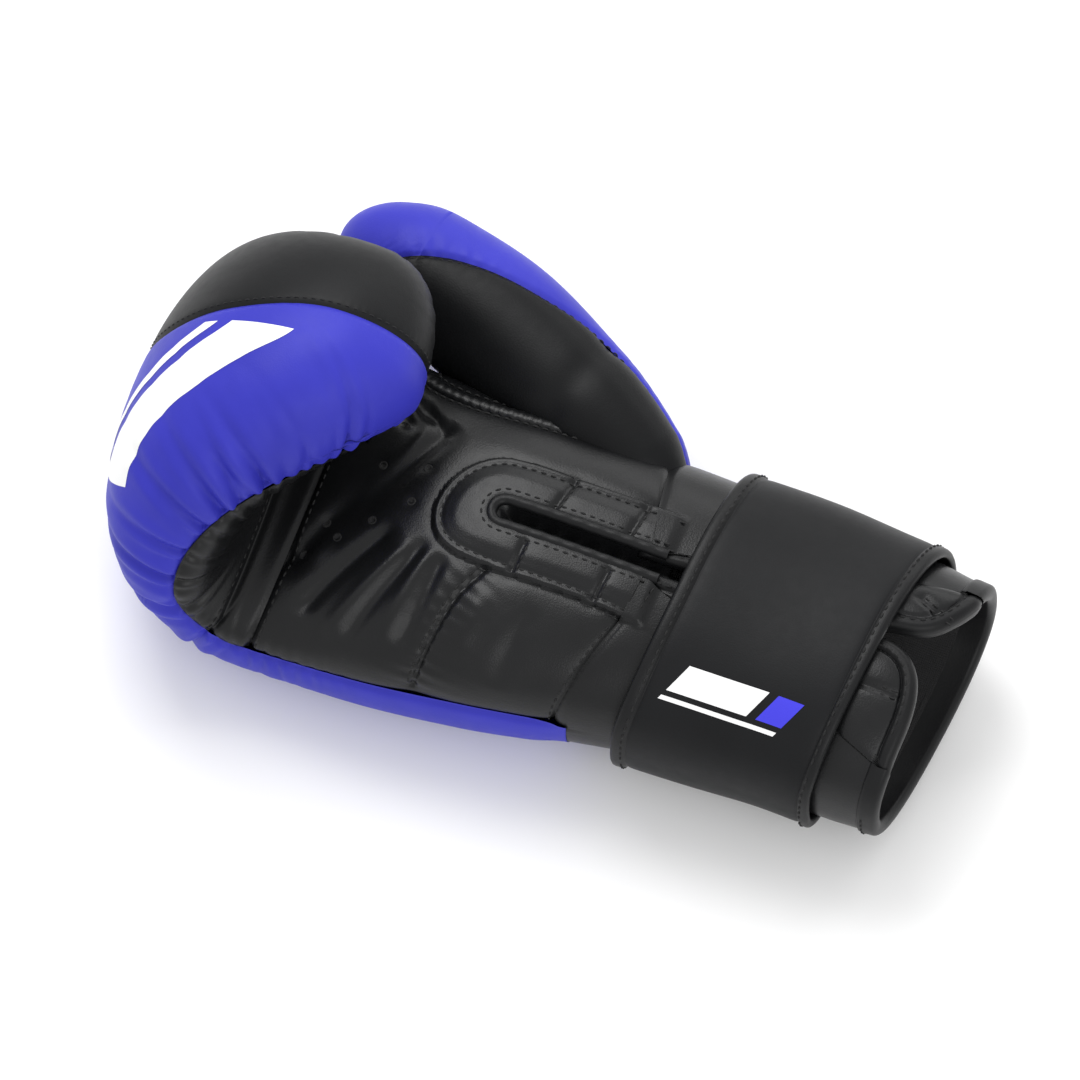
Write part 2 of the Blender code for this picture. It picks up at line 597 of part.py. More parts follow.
cav_grid_l, cav_grid_t = np.meshgrid(LB_ALL[(LB_ALL > 60) & (LB_ALL < 290)], mitt_solid_t, indexing="ij")
cav_solid = loft_solid("cut_cavity", cavity(cav_grid_l, cav_grid_t, LINING + 0.4), LINER, cutter=True)
cut(thumb_throat, cav_solid)


# seam welt where the thumb meets the palm
def inside_mitt(p):
    l = CUFF_X - p[..., 0]
    a, y0 = curve_through(LB_T, HALF_W, l), curve_through(LB_T, MID_Y, l)
    b, z0 = curve_through(LB_T, PALM_H, l), curve_through(LB_T, MID_Z, l)
    return (np.abs(p[..., 1] - y0) / a) ** N_SECTION + (np.abs(p[..., 2] - z0) / b) ** N_SECTION - 1


welt = []
for vv in np.linspace(0.10, 0.60, 15):
    tt = np.linspace(60, 175, 240)
    f = inside_mitt(thumb(np.full_like(tt, vv), tt))
    k = np.where((f[:-1] > 0) & (f[1:] <= 0))[0]
    if len(k):
        welt.append(thumb(np.array([vv]), np.array([tt[k[0]]]))[0])
welt = np.array(welt)
thumb_welt = tube("thumb_welt", welt + np.array([0, 0, 0.8]), 4.2, BLACK)
thumb_outer_solid = loft_solid("cut_thumb_outer", thumb(v, t, -0.5), BLACK, cutter=True)
cut(thumb_welt, mitt_solid("mitt_outer_2", -0.9))
cut(thumb_welt, thumb_outer_solid)

# ---------------------------------------------------------------- grip bar, inside the hand under the palm
bpy.ops.mesh.primitive_cylinder_add(vertices=20, radius=0.0045, depth=0.046, location=(-0.060, -0.001, 0), rotation=(math.pi / 2, 0, 0))
grip_bar = bpy.context.active_object
for c in list(grip_bar.users_collection):
    c.objects.unlink(grip_bar)
GLOVE.objects.link(grip_bar)
grip_bar.name = "grip_bar"
grip_bar.data.materials.append(FOAM)
grip_bar.location.z = (cavity(np.array(215.0), np.array(90.0))[2] - 8.5) / 1000
bv = grip_bar.modifiers.new("round", "BEVEL")
bv.width = 0.0012
bv.segments = 1
bv.limit_method = "ANGLE"


# ---------------------------------------------------------------- strap
def strap_x0(th):
    """Fist-side edge of the strap at angle th: the strap climbs a little as it goes round."""
    return 61.0 - 13.5 * (np.clip(np.asarray(th, float), -90, 165) - 20.0) / 180.0


def strap_wall(name, mat, th0, th1, up0, up1, x_lo=0.0, x_hi=STRAP_W, nv=4):
    t = lines(th0, th1)
    off = np.linspace(x_lo, x_hi, nv)
    o_, t_ = np.meshgrid(off, t, indexing="ij")
    lb = CUFF_X - (strap_x0(t_) + o_)
    return loft_wall(name, mitt(lb, t_, -up1), mitt(lb, t_, -up0), mat)


GAP = 0.35
strap_parts = {
    "strap_anchor": (ANCHOR_START, HINGE_1 - GAP),
    "strap_panel": (HINGE_1 + GAP, HINGE_2 - GAP),
    "strap_side": (HINGE_2 + GAP, HINGE_3 - GAP),
    "strap_tail": (HINGE_3 + GAP, TAIL_END),
}
for nm, (t0, t1) in strap_parts.items():
    strap_wall(nm + "_face", BLACK, t0, t1, STRAP_MID, STRAP_OUT, 3.2, STRAP_W - 3.2)
    strap_wall(nm + ("_hook_patch" if nm == "strap_tail" else "_backing"), LOOP if nm == "strap_tail" else LINER, t0, t1 - (4 if nm == "strap_tail" else 0), STRAP_IN, STRAP_MID - 0.3, 3.2, STRAP_W - 3.2)
    if nm != "strap_anchor":
        strap_wall(nm + "_binding_fist", BINDING, t0, t1, STRAP_IN - 0.2, STRAP_OUT + 0.2, 0.0, 2.9, nv=2)
        strap_wall(nm + "_binding_cuff", BINDING, t0, t1, STRAP_IN - 0.2, STRAP_OUT + 0.2, STRAP_W - 2.9, STRAP_W, nv=2)
loop_patch = strap_wall("loop_patch", LOOP, 196.0, 292.0, 0.7, 1.5, 6.0, STRAP_W - 6.0)

# prints: plain generic marks, thin films on the skin
strap_wall("strap_mark", WHITE, 128.0, 140.0, STRAP_OUT + 0.25, STRAP_OUT + 0.65, 12.0, 52.0, nv=3)


def stripe(name, lb0, lb1, th0, th1, mat):
    ls_ = stations(lb0, lb1)
    l_, t_ = np.meshgrid(ls_, lines(th0, th1), indexing="ij")
    return loft_wall(name, mitt(l_, t_, -1.0), mitt(l_, t_, -0.6), mat)


fist_stripe = stripe("fist_stripe", 258.0, 315.0, 246.0, 262.0, WHITE)

# ---------------------------------------------------------------- joint guides: empties on the fold lines
def guide(name, p, axis):
    e = bpy.data.objects.new(name, None)
    e.empty_display_size = 0.02
    e.location = Vector(p) / 1000
    e.rotation_mode = "QUATERNION"
    e.rotation_quaternion = Vector((0, 0, 1)).rotation_difference(Vector(axis))
    GLOVE.objects.link(e)
    return e


def strap_hinge(th):
    """A line parallel to X on the strap's outer face at angle th, at the outermost place along the strap."""
    lb = CUFF_X - (strap_x0(th) + np.linspace(0, STRAP_W, 9))
    p = mitt(lb, np.full(9, th), -(STRAP_OUT + 0.3))
    c = section(np.array(float(th)))
    n = np.array([c[0] / 52.0, c[1] / 33.0])
    n = n / np.linalg.norm(n)
    k = int(np.argmax(p[:, 1] * n[0] + p[:, 2] * n[1]))
    return (float(strap_x0(th) + STRAP_W / 2), float(p[k, 1]), float(p[k, 2]))


H1, H2, H3 = strap_hinge(HINGE_1), strap_hinge(HINGE_2), strap_hinge(HINGE_3)


def flap_hinge(sign):
    """The flap folds on a straight line from the end of the slit to the cuff's side, kept near the skin's outer face."""
    y0, y1 = SLIT_Y + sign * 2.0, FOLD_Y[sign] + sign * 0.6
    xs = np.linspace(FLAP_X0, FLAP_END[sign], 13)
    ys = y0 + (y1 - y0) * (xs - FLAP_X0) / (FLAP_END[sign] - FLAP_X0)
    lb = CUFF_X - xs
    a, yc = curve_through(LB_T, HALF_W, lb), curve_through(LB_T, MID_Y, lb)
    b, zc = curve_through(LB_T, PALM_H, lb), curve_through(LB_T, MID_Z, lb)
    zs = zc + b * (1 - (np.abs(ys - yc) / a) ** N_SECTION) ** (1 / N_SECTION)
    p0, p1 = np.array([xs[0], ys[0], zs[0]]), np.array([xs[-1], ys[-1], zs[-1]])
    chord = p0 + (p1 - p0) * ((xs - xs[0]) / (xs[-1] - xs[0]))[:, None]
    lift = float(np.max(zs - chord[:, 2]))
    p0[2] += lift * 0.75
    p1[2] += lift * 0.75
    ax = (p1 - p0) / np.linalg.norm(p1 - p0)
    return (p0 + p1) / 2, ax * (-1 if sign > 0 else 1)


FT, FT_AX = flap_hinge(1)
FP, FP_AX = flap_hinge(-1)
THUMB_HINGE = (44.0, 46.0, 44.0)
MOVING = {
    "axis_strap_panel": (H1, (-1, 0, 0), "strap_panel"),
    "axis_strap_side": (H2, (-1, 0, 0), "strap_side"),
    "axis_strap_tail": (H3, (-1, 0, 0), "strap_tail"),
    "axis_flap_thumb": (FT, FT_AX, "flap_thumb"),
    "axis_flap_pinky": (FP, FP_AX, "flap_pinky"),
    "axis_thumb": (THUMB_HINGE, (0, 0, -1), "thumb_"),
}
STAYS = ("thumb_welt", "thumb_throat")
for name, (p, axis, prefix) in MOVING.items():
    e = guide(name, p, axis)
    bpy.context.view_layer.update()
    for o in GLOVE.objects:
        if o.type == "MESH" and o.name.startswith(prefix) and o.name not in STAYS:
            o.parent = e
            o.matrix_parent_inverse = e.matrix_world.inverted()
mark = bpy.data.objects["strap_mark"]
mark.parent = bpy.data.objects["axis_strap_panel"]
mark.matrix_parent_inverse = mark.parent.matrix_world.inverted()

# the whole glove moves so that the origin is at the middle of its base
for o in list(GLOVE.objects) + list(CUTTERS.objects):
    if o.parent is None:
        o.location = o.location + Vector((SHIFT[0] / 1000, SHIFT[1] / 1000, 0))
bpy.context.view_layer.update()
for name, (p, axis, prefix) in MOVING.items():
    q = bpy.data.objects[name].matrix_world.translation
    print("AXIS", name, [round(v, 5) for v in q], [round(float(v), 5) for v in axis])
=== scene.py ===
"""Looks of a padded boxing glove, right hand, lying on its back with the palm up.

The mitt is one curled tube, as in the CAD: a point has a station LB along the spine from the
cuff's end, an angle TH round the section (0 thumb side, 90 palm, 180 little-finger side, 270 back)
and a depth D below the skin.  Lengths are millimetres until to_frame makes them frame metres.
Every skin is a fine grid on that tube, moved along its normal by seams, pleats, folds and padding.
"""
import math

import bpy
import numpy as np
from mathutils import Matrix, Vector


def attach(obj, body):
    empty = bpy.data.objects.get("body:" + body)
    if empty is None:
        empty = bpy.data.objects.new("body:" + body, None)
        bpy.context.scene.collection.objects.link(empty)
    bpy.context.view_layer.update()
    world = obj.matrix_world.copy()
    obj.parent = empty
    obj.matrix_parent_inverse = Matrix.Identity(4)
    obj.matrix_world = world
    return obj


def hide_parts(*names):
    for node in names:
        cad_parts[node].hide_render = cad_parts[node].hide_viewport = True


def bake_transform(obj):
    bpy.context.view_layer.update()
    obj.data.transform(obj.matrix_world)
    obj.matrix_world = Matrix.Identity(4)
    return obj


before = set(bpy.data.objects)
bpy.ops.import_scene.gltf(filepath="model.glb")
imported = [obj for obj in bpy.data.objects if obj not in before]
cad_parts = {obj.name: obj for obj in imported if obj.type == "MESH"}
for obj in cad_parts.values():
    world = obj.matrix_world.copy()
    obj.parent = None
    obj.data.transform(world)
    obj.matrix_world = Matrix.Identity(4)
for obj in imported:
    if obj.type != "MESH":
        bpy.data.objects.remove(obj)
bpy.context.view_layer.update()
RNG = np.random.default_rng(7)

# ---------------------------------------------------------------- driving sizes
CUFF_X = 155.0          # where the spine starts
SKIN = 1.3              # leather thickness
FOAM_TOP = 3.0          # depth of the foam's outer face below the skin's outer face
LINING = 1.1            # lining thickness
TIP_LB = 344.0          # station of the finger tip
CAP_LB = 318.0          # where the finger tip starts to round off
CUFF_LB = 122.6         # end of the cuff section
HAND_LB = 123.2         # start of the hand section
CURL_R = 31.0           # radius of the spine's curl
STRETCH = 0.16          # how much longer the curl is than its stations say
SLIT_Y = 4.0            # the palm slit's line
SLIT_X0 = -15.0         # the slit's blind end
SLIT_HALF = 3.6
STRAP_W = 76.0          # strap width
STRAP_IN, STRAP_MID, STRAP_OUT = 2.0, 3.5, 4.8   # strap layers above the cuff skin
HINGE_1, HINGE_2, HINGE_3 = 17.0, 160.0, 214.0   # angles of the strap's fold lines
TAIL_END = 262.0
ANCHOR_START = -62.0
FLAP_X0 = 33.0
FLAP_END = {1: 151.0, -1: 143.5}   # the thumb side's flap is longer
FOLD_Y = {1: 37.0, -1: -37.0}
CUT_Z = 44.0            # the flaps reach down to this height
SHIFT = (-3.8, -24.5)   # puts the origin at the middle of the base
N_SECTION = 2.35        # superellipse exponent of the sections
AROUND = 20             # section lines round the tube


def smooth(t):
    t = np.clip(t, 0.0, 1.0)
    return t * t * (3 - 2 * t)


def curve_through(xs, ys, x):
    """Monotone cubic through the points, level at both ends."""
    xs, ys, x = np.asarray(xs, float), np.asarray(ys, float), np.asarray(x, float)
    h = np.diff(xs)
    s = np.diff(ys) / h
    m = np.zeros(len(xs))
    for i in range(1, len(xs) - 1):
        if s[i - 1] * s[i] > 0:
            a, b = 2 * h[i] + h[i - 1], h[i] + 2 * h[i - 1]
            m[i] = (a + b) / (a / s[i - 1] + b / s[i])
    x = np.clip(x, xs[0], xs[-1])
    i = np.clip(np.searchsorted(xs, x) - 1, 0, len(h) - 1)
    t = (x - xs[i]) / h[i]
    return ((2 * t**3 - 3 * t**2 + 1) * ys[i] + (t**3 - 2 * t**2 + t) * h[i] * m[i]
            + (-2 * t**3 + 3 * t**2) * ys[i + 1] + (t**3 - t**2) * h[i] * m[i + 1])


# stations of the tables below
LB_T = (0, 20, 60, 95, 123, 160, 195, 225, 250, 280, 310, 344)
HALF_W = (49, 50.5, 51.5, 52.5, 55, 58.5, 61, 63, 65.5, 67, 66.5, 65.5)
MID_Y = (0.5, 1.5, 3, 3, 1.5, -0.5, -1.5, -0.5, 1, 2.5, 3, 3)
MID_Z = (38, 38, 38, 38, 38.5, 38, 36.5, 35, 35, 35, 35, 35)
PALM_H = (32, 32.5, 32.5, 33, 34, 35, 32, 25, 19, 17.5, 17, 17)
BACK_H = (31, 31.5, 32, 32, 33.6, 38.8, 39.5, 38, 37, 36.5, 36, 34)
# cavity: half width, middle above the spine, half height
CAV_W = (37.5, 39, 41, 42, 42, 43, 44, 44, 44, 44, 42, 40)
CAV_N = (0, 0, 0, 0.5, 3, 10, 13, 9, 5, 4, 4, 4)
CAV_H = (21, 22, 23, 23.5, 22.5, 17, 13, 11, 9.5, 9.5, 9, 9)

_L = np.arange(-10.0, 380.0, 0.25)
_K = (smooth((_L - 220) / 30) * (1 - smooth((_L - 314) / 18)) / CURL_R
      + smooth((_L - 314) / 18) / 75.0)
_DS = (1 + STRETCH * smooth((_L[1:] - 212) / 20)) * 0.25
_A = np.concatenate([[0], np.cumsum((_K[1:] + _K[:-1]) / 2 * _DS)])
_SX = CUFF_X + 10 - np.concatenate([[0], np.cumsum(np.cos((_A[1:] + _A[:-1]) / 2) * _DS)])
_SZ = np.concatenate([[0], np.cumsum(np.sin((_A[1:] + _A[:-1]) / 2) * _DS)])


def spine(l):
    a = np.interp(l, _L, _A)
    return np.interp(l, _L, _SX), np.interp(l, _L, _SZ), np.sin(a), np.cos(a)


def section(th, n=N_SECTION):
    c, s = np.cos(np.radians(th)), np.sin(np.radians(th))
    return (np.sign(c) * np.abs(c) ** (2 / n), np.sign(s) * np.abs(s) ** (2 / n))


def tip_of(lat):
    """Station of the finger tip: the little finger's side is shorter."""
    return curve_through((-1, -0.8, -0.4, 0, 0.3, 1), (292, 300, 318, 335, 344, 344), lat)


def cuff_slant(lb, y):
    """The cuff's end is cut at a slant: its little finger's side is shorter."""
    return -4.5 * (1 - smooth(lb / 40.0)) * (1 - y / 50.0)


def mitt(lb, th, d=0.0):
    """Point of the mitt's outer skin at station lb and angle th, d below the surface."""
    lb, th = np.broadcast_arrays(np.asarray(lb, float), np.asarray(th, float))
    c, s = section(th)
    tau = np.clip((lb - CAP_LB) / (TIP_LB - CAP_LB), 0, 1)
    ka = (1 - tau ** 2.6) ** (1 / 2.6)
    kb = np.sqrt(np.maximum(0, 1 - tau**2))
    lat = c * ka
    l = lb - smooth((lb - 235) / 83) * (TIP_LB - tip_of(lat)) - d * smooth((lb - 300) / 44)
    y = curve_through(LB_T, MID_Y, lb) + (curve_through(LB_T, HALF_W, lb) - d) * ka * c
    n = np.where(s > 0, curve_through(LB_T, PALM_H, lb), curve_through(LB_T, BACK_H, lb)) - d
    n = n * kb * s
    sx, sz, nx, nz = spine(l)
    x = sx + n * nx
    z = sz + curve_through(LB_T, MID_Z, lb) + n * nz
    z = np.where((s < 0) & (lb < 262), np.maximum(z, d), z)
    return np.stack([x + cuff_slant(lb, y), y, z], -1)


def cavity(lb, th, g=0.0):
    """Point of the hand's cavity, g outside it.  Past station 290 it is squeezed to end in the finger pocket."""
    lb, th = np.broadcast_arrays(np.asarray(lb, float), np.asarray(th, float))
    c, s = section(th, 2.2)
    l0 = np.where(lb > 290, 290 + (lb - 290) * 24 / 54, lb)
    tau = np.clip((l0 - 298) / 16, 0, 1)
    k = np.sqrt(np.maximum(0, 1 - tau**2))
    lat = c * k
    l = l0 - smooth((l0 - 235) / 75) * (TIP_LB - tip_of(lat)) * 0.8 + g * smooth((l0 - 285) / 29)
    y = curve_through(LB_T, MID_Y, lb) + (curve_through(LB_T, CAV_W, l0) + g) * k * c
    n = curve_through(LB_T, CAV_N, l0) + (curve_through(LB_T, CAV_H, l0) + g) * k * s
    sx, sz, nx, nz = spine(l)
    return np.stack([sx + n * nx + cuff_slant(lb, y), y, sz + curve_through(LB_T, MID_Z, l0) + n * nz], -1)


THUMB_V = (0, 0.15, 0.35, 0.55, 0.75, 0.9, 1.0)
THUMB_C = ((42, 41, 41), (24, 50, 42), (-8, 64.5, 44), (-40, 80, 46), (-70, 90, 48), (-90, 93.5, 50), (-107, 94, 51))
THUMB_W = (8, 17, 24, 25, 23, 21, 20)
THUMB_H = (14, 22, 27, 27.5, 26, 24, 23)
THUMB_CAP = 0.80


def thumb_centre(v):
    """Smooth centre line of the thumb: a Catmull-Rom curve through THUMB_C."""
    v = np.asarray(v, float)
    p = np.array(THUMB_C, float)
    t = np.array(THUMB_V)
    m = np.zeros_like(p)
    m[1:-1] = (p[2:] - p[:-2]) / (t[2:] - t[:-2])[:, None]
    m[0], m[-1] = (p[1] - p[0]) / (t[1] - t[0]), (p[-1] - p[-2]) / (t[-1] - t[-2])
    i = np.clip(np.searchsorted(t, v) - 1, 0, len(t) - 2)
    h = (t[i + 1] - t[i])
    u = (v - t[i]) / h
    u, h = u[..., None], h[..., None]
    return ((2 * u**3 - 3 * u**2 + 1) * p[i] + (u**3 - 2 * u**2 + u) * h * m[i]
            + (-2 * u**3 + 3 * u**2) * p[i + 1] + (u**3 - u**2) * h * m[i + 1])


def thumb(v, t, d=0.0, w=THUMB_W, hh=THUMB_H, cap=THUMB_CAP):
    """Point of the thumb at v along it and angle t round it (0 outer side, 90 palm side), d below its skin."""
    v, t = np.broadcast_arrays(np.asarray(v, float), np.asarray(t, float))
    tau = np.clip((v - cap) / (1 - cap), 0, 1)
    k = np.sqrt(np.maximum(0, 1 - tau**2))
    vv = v - d / 155.0 * smooth((v - cap) / (1 - cap))
    p = thumb_centre(vv)
    q = thumb_centre(np.clip(vv + 0.01, 0, 1)) - thumb_centre(np.clip(vv - 0.01, 0, 1))
    q = q / np.linalg.norm(q, axis=-1, keepdims=True)
    side = np.cross(q, np.array([0.0, 0, 1]))
    side = side / np.linalg.norm(side, axis=-1, keepdims=True)
    up = np.cross(side, q)
    c, s = section(t, 2.2)
    a = (curve_through(THUMB_V, w, v) - d) * k
    b = (curve_through(THUMB_V, hh, v) - d) * k
    out = p + side * (a * c)[..., None] + up * (b * s)[..., None]
    out[..., 2] = np.maximum(out[..., 2], 14 + d)
    return out


# ---------------------------------------------------------------- grids, normals and seams
def to_frame(p):
    return (np.asarray(p, float) + np.array([SHIFT[0], SHIFT[1], 0.0])) / 1000.0


def normalised(v):
    return v / np.maximum(np.linalg.norm(v, axis=-1, keepdims=True), 1e-9)


def mitt_normal(lb, th):
    """Outward normal of the bare mitt."""
    lb, th = np.broadcast_arrays(np.asarray(lb, float), np.asarray(th, float))
    a = mitt(np.minimum(lb + 0.4, TIP_LB), th) - mitt(lb - 0.4, th)
    b = mitt(lb, th + 0.6) - mitt(lb, th - 0.6)
    n = normalised(np.cross(a, b))
    c, s = section(th)
    sx, sz, nx, nz = spine(lb)
    out = np.stack([nx * s, c, nz * s], -1)
    return n * np.sign(np.sum(n * out, -1, keepdims=True) + 1e-12)


def thumb_normal(v, t):
    v, t = np.broadcast_arrays(np.asarray(v, float), np.asarray(t, float))
    a = thumb(np.minimum(v + 0.004, 1.0), t) - thumb(v - 0.004, t)
    b = thumb(v, t + 1.0) - thumb(v, t - 1.0)
    n = normalised(np.cross(a, b))
    out = thumb(v, t) - thumb_centre(v)
    return n * np.sign(np.sum(n * out, -1, keepdims=True) + 1e-12)


def plan(x, y):
    """Station and angle of the palm's point that lies over x, y."""
    x, y = np.broadcast_arrays(np.asarray(x, float), np.asarray(y, float))
    lb = CUFF_X - x
    th = lb * 0 + 90.0
    for _ in range(16):
        c = np.clip((y - curve_through(LB_T, MID_Y, lb)) / curve_through(LB_T, HALF_W, lb), -0.999, 0.999)
        th = np.degrees(np.arccos(np.sign(c) * np.abs(c) ** (N_SECTION / 2)))
        lb = np.clip(lb + (mitt(lb, th)[..., 0] - x) * 0.9, -6, 262)
    return lb, th


def resample(p, step):
    """The polyline p at equal steps."""
    d = np.concatenate([[0], np.cumsum(np.linalg.norm(np.diff(p, axis=0), axis=1))])
    n = max(2, int(round(d[-1] / step)) + 1)
    s = np.linspace(0, d[-1], n)
    return np.stack([np.interp(s, d, p[:, k]) for k in range(p.shape[1])], -1)


def rounded(p, n=12, closed=False):
    """A Catmull-Rom curve through the control points."""
    p = np.asarray(p, float)
    q = np.concatenate([p[-1:], p, p[:2]]) if closed else np.concatenate([[2 * p[0] - p[1]], p, [2 * p[-1] - p[-2]]])
    out = []
    for i in range(1, len(q) - 2):
        for u in np.linspace(0, 1, n, endpoint=False):
            out.append(0.5 * (2 * q[i] + (q[i + 1] - q[i - 1]) * u + (2 * q[i - 1] - 5 * q[i] + 4 * q[i + 1] - q[i + 2]) * u**2
                              + (3 * q[i] - q[i - 1] - 3 * q[i + 1] + q[i + 2]) * u**3))
    if not closed:
        out.append(q[-2])
    return np.array(out)


class Seam:
    """A sewn line on the mitt: control points as stations and angles."""

    def __init__(self, lbth, step=0.8):
        lbth = np.asarray(lbth, float)
        p = mitt(lbth[:, 0], lbth[:, 1])
        both = resample(np.concatenate([p, lbth], 1), step)
        # stations and angles are kept beside the points, so that the line can be read again on the skin
        self.lb, self.th = both[:, 3], both[:, 4]
        self.p = mitt(self.lb, self.th)
        self.n = mitt_normal(self.lb, self.th)
        self.s = np.concatenate([[0], np.cumsum(np.linalg.norm(np.diff(self.p, axis=0), axis=1))])

    def near(self, q, reach=30.0):
        return nearest(q, self.p, self.s, reach)


def nearest(q, p, s, reach=30.0):
    """Distance from each of q to the polyline p, and the arc length s there."""
    shape = q.shape[:-1]
    q = q.reshape(-1, 3)
    d = np.full(len(q), 1e3)
    at = np.zeros(len(q))
    lo, hi = p.min(0) - reach, p.max(0) + reach
    idx = np.where(np.all((q > lo) & (q < hi), 1))[0]
    for k in range(0, len(idx), 4000):
        i = idx[k:k + 4000]
        dd = ((q[i][:, None, :] - p[None]) ** 2).sum(-1)
        j = dd.argmin(1)
        # between the two neighbours, so that the distance has no steps
        j0 = np.clip(j, 1, len(p) - 2)
        best, bs = np.sqrt(dd[np.arange(len(i)), j]), s[j]
        for a, b in ((j0 - 1, j0), (j0, j0 + 1)):
            e = p[b] - p[a]
            t = np.clip(((q[i] - p[a]) * e).sum(1) / np.maximum((e * e).sum(1), 1e-9), 0, 1)
            r = np.linalg.norm(q[i] - (p[a] + e * t[:, None]), axis=1)
            ok = r < best
            best = np.where(ok, r, best)
            bs = np.where(ok, s[a] + (s[b] - s[a]) * t, bs)
        d[i], at[i] = best, bs
    return d.reshape(shape), at.reshape(shape)


def plan_seam(xy, curved=True, step=0.8):
    xy = np.asarray(xy, float)
    if curved and len(xy) > 2:
        xy = rounded(xy)
    xy = resample(xy, 1.0)
    lb, th = plan(xy[:, 0], xy[:, 1])
    return Seam(np.stack([lb, th], -1), step)


def side_seam(lb0, lb1, th, n=200):
    lb = np.linspace(lb0, lb1, n)
    if lb1 >= TIP_LB:
        k = CAP_LB + (TIP_LB - CAP_LB) * np.sin(np.linspace(0, math.pi / 2, 60))
        lb = np.concatenate([np.linspace(lb0, CAP_LB, n, endpoint=False), k])
    return Seam(np.stack([lb, lb * 0 + th], -1))


def black_edge(lb):
    """Angle of the seam between the blue shell and the black side panel."""
    lb = np.asarray(lb, float)
    tau = np.clip((lb - CAP_LB) / (TIP_LB - CAP_LB), 0, 1)
    ka = np.maximum((1 - tau**2.6), 0) ** (1 / 2.6)
    c = curve_through((214, 236, 262, 286, 302, 318, 344), (0.995, 0.5, 0.2, 0.2, 0.3, 0.42, 0.44), lb)
    c = np.minimum(1.0, c / np.maximum(ka, 1e-3))
    return np.minimum(360 - np.degrees(np.arccos(np.clip(c, 0, 1) ** (N_SECTION / 2))), 363.6)


def g(d, w):
    return np.exp(-(d / w) ** 2)


def inside(poly, x, y):
    """Whether x, y lie in the plan polygon."""
    poly = np.asarray(poly, float)
    r = np.zeros(x.shape, bool)
    j = len(poly) - 1
    for i in range(len(poly)):
        xi, yi = poly[i]
        xj, yj = poly[j]
        cross = (yi > y) != (yj > y)
        with np.errstate(divide="ignore", invalid="ignore"):
            r ^= cross & (x < (xj - xi) * (y - yi) / (yj - yi + 1e-12) + xi)
        j = i
    return r


def edge_distance(line, x, y):
    """Distance in plan from x, y to the polyline, and its nearest point."""
    line = np.asarray(line, float)
    q = np.stack([x, y], -1).reshape(-1, 2)
    best = np.full(len(q), 1e9)
    at = np.zeros((len(q), 2))
    for a, b in zip(line[:-1], line[1:]):
        e = b - a
        t = np.clip(((q - a) @ e) / max(e @ e, 1e-12), 0, 1)
        r = a + t[:, None] * e
        d = np.linalg.norm(q - r, axis=1)
        ok = d < best
        best[ok], at[ok] = d[ok], r[ok]
    return best.reshape(x.shape), at.reshape(x.shape + (2,))


# ---------------------------------------------------------------- seams of the mitt
PINKY_SEAM, THUMB_SEAM = 176.6, 5.0
LIP = side_seam(127.0, TIP_LB, PINKY_SEAM)          # blue to black along the little-finger side, to the finger tip
LIP_T = side_seam(205.0, TIP_LB, 364.2)             # the same on the thumb side
SIDE_T = side_seam(124.0, 205.0, 364.2)
_lb = np.linspace(216.0, 343.9, 260)
CROWN = Seam(np.stack([_lb, black_edge(_lb)], -1))  # the black side panel's edge over the fist
PALM_END = Seam(np.stack([np.full(60, 236.0), np.linspace(PINKY_SEAM, THUMB_SEAM, 60)], -1))
FINGER_2 = Seam(np.stack([np.full(60, 263.0), np.linspace(PINKY_SEAM, THUMB_SEAM, 60)], -1))
HEEL = plan_seam([(-10.9, -18.3), (-17.0, -31.0), (-20.0, -44.0), (-21.5, -54.0), (-22.5, -60.0)])


def transverse_x(y):
    return np.interp(y, (-60, -54, -37, -19.6, 0, 25, 60), (27.5, 28.6, 34.8, 41.1, 43, 38.5, 33))


_y = np.linspace(-57, 57, 80)
TRANSVERSE = plan_seam(np.stack([transverse_x(_y), _y], -1), curved=False)
U_EDGE = rounded([(56, 26), (31.7, 26), (9.1, 26), (-8.5, 26), (-20, 24.6), (-29, 18.6), (-34.6, 9.1), (-36, -1.5),
                  (-32.5, -10.5), (-24.0, -16.0), (-10, -17.8), (1.4, -18), (27.7, -18), (45.1, -19.2), (56, -19.8)])
U_POLY = np.concatenate([U_EDGE, [(75, -20), (75, 26)]])
U_SEAM = plan_seam(U_EDGE, curved=False)
LADDER = [plan_seam(q, curved=False) for q in (
    [(7.4, 24.4), (4.2, 9.6)], [(34.6, 24.4), (32.4, 9.8)],
    [(-0.6, -5.4), (-1.4, -16.6)], [(30.6, -5.2), (29.4, -16.8)], [(46.6, -4.2), (43.6, -17.6)])]
WELT = plan_seam([(-60.5, 58.0), (-58.5, 53.2), (-52.0, 49.2), (-41.5, 46.8), (-25.0, 46.4), (1.0, 47.4), (20.0, 49.4), (33.0, 52.2)])
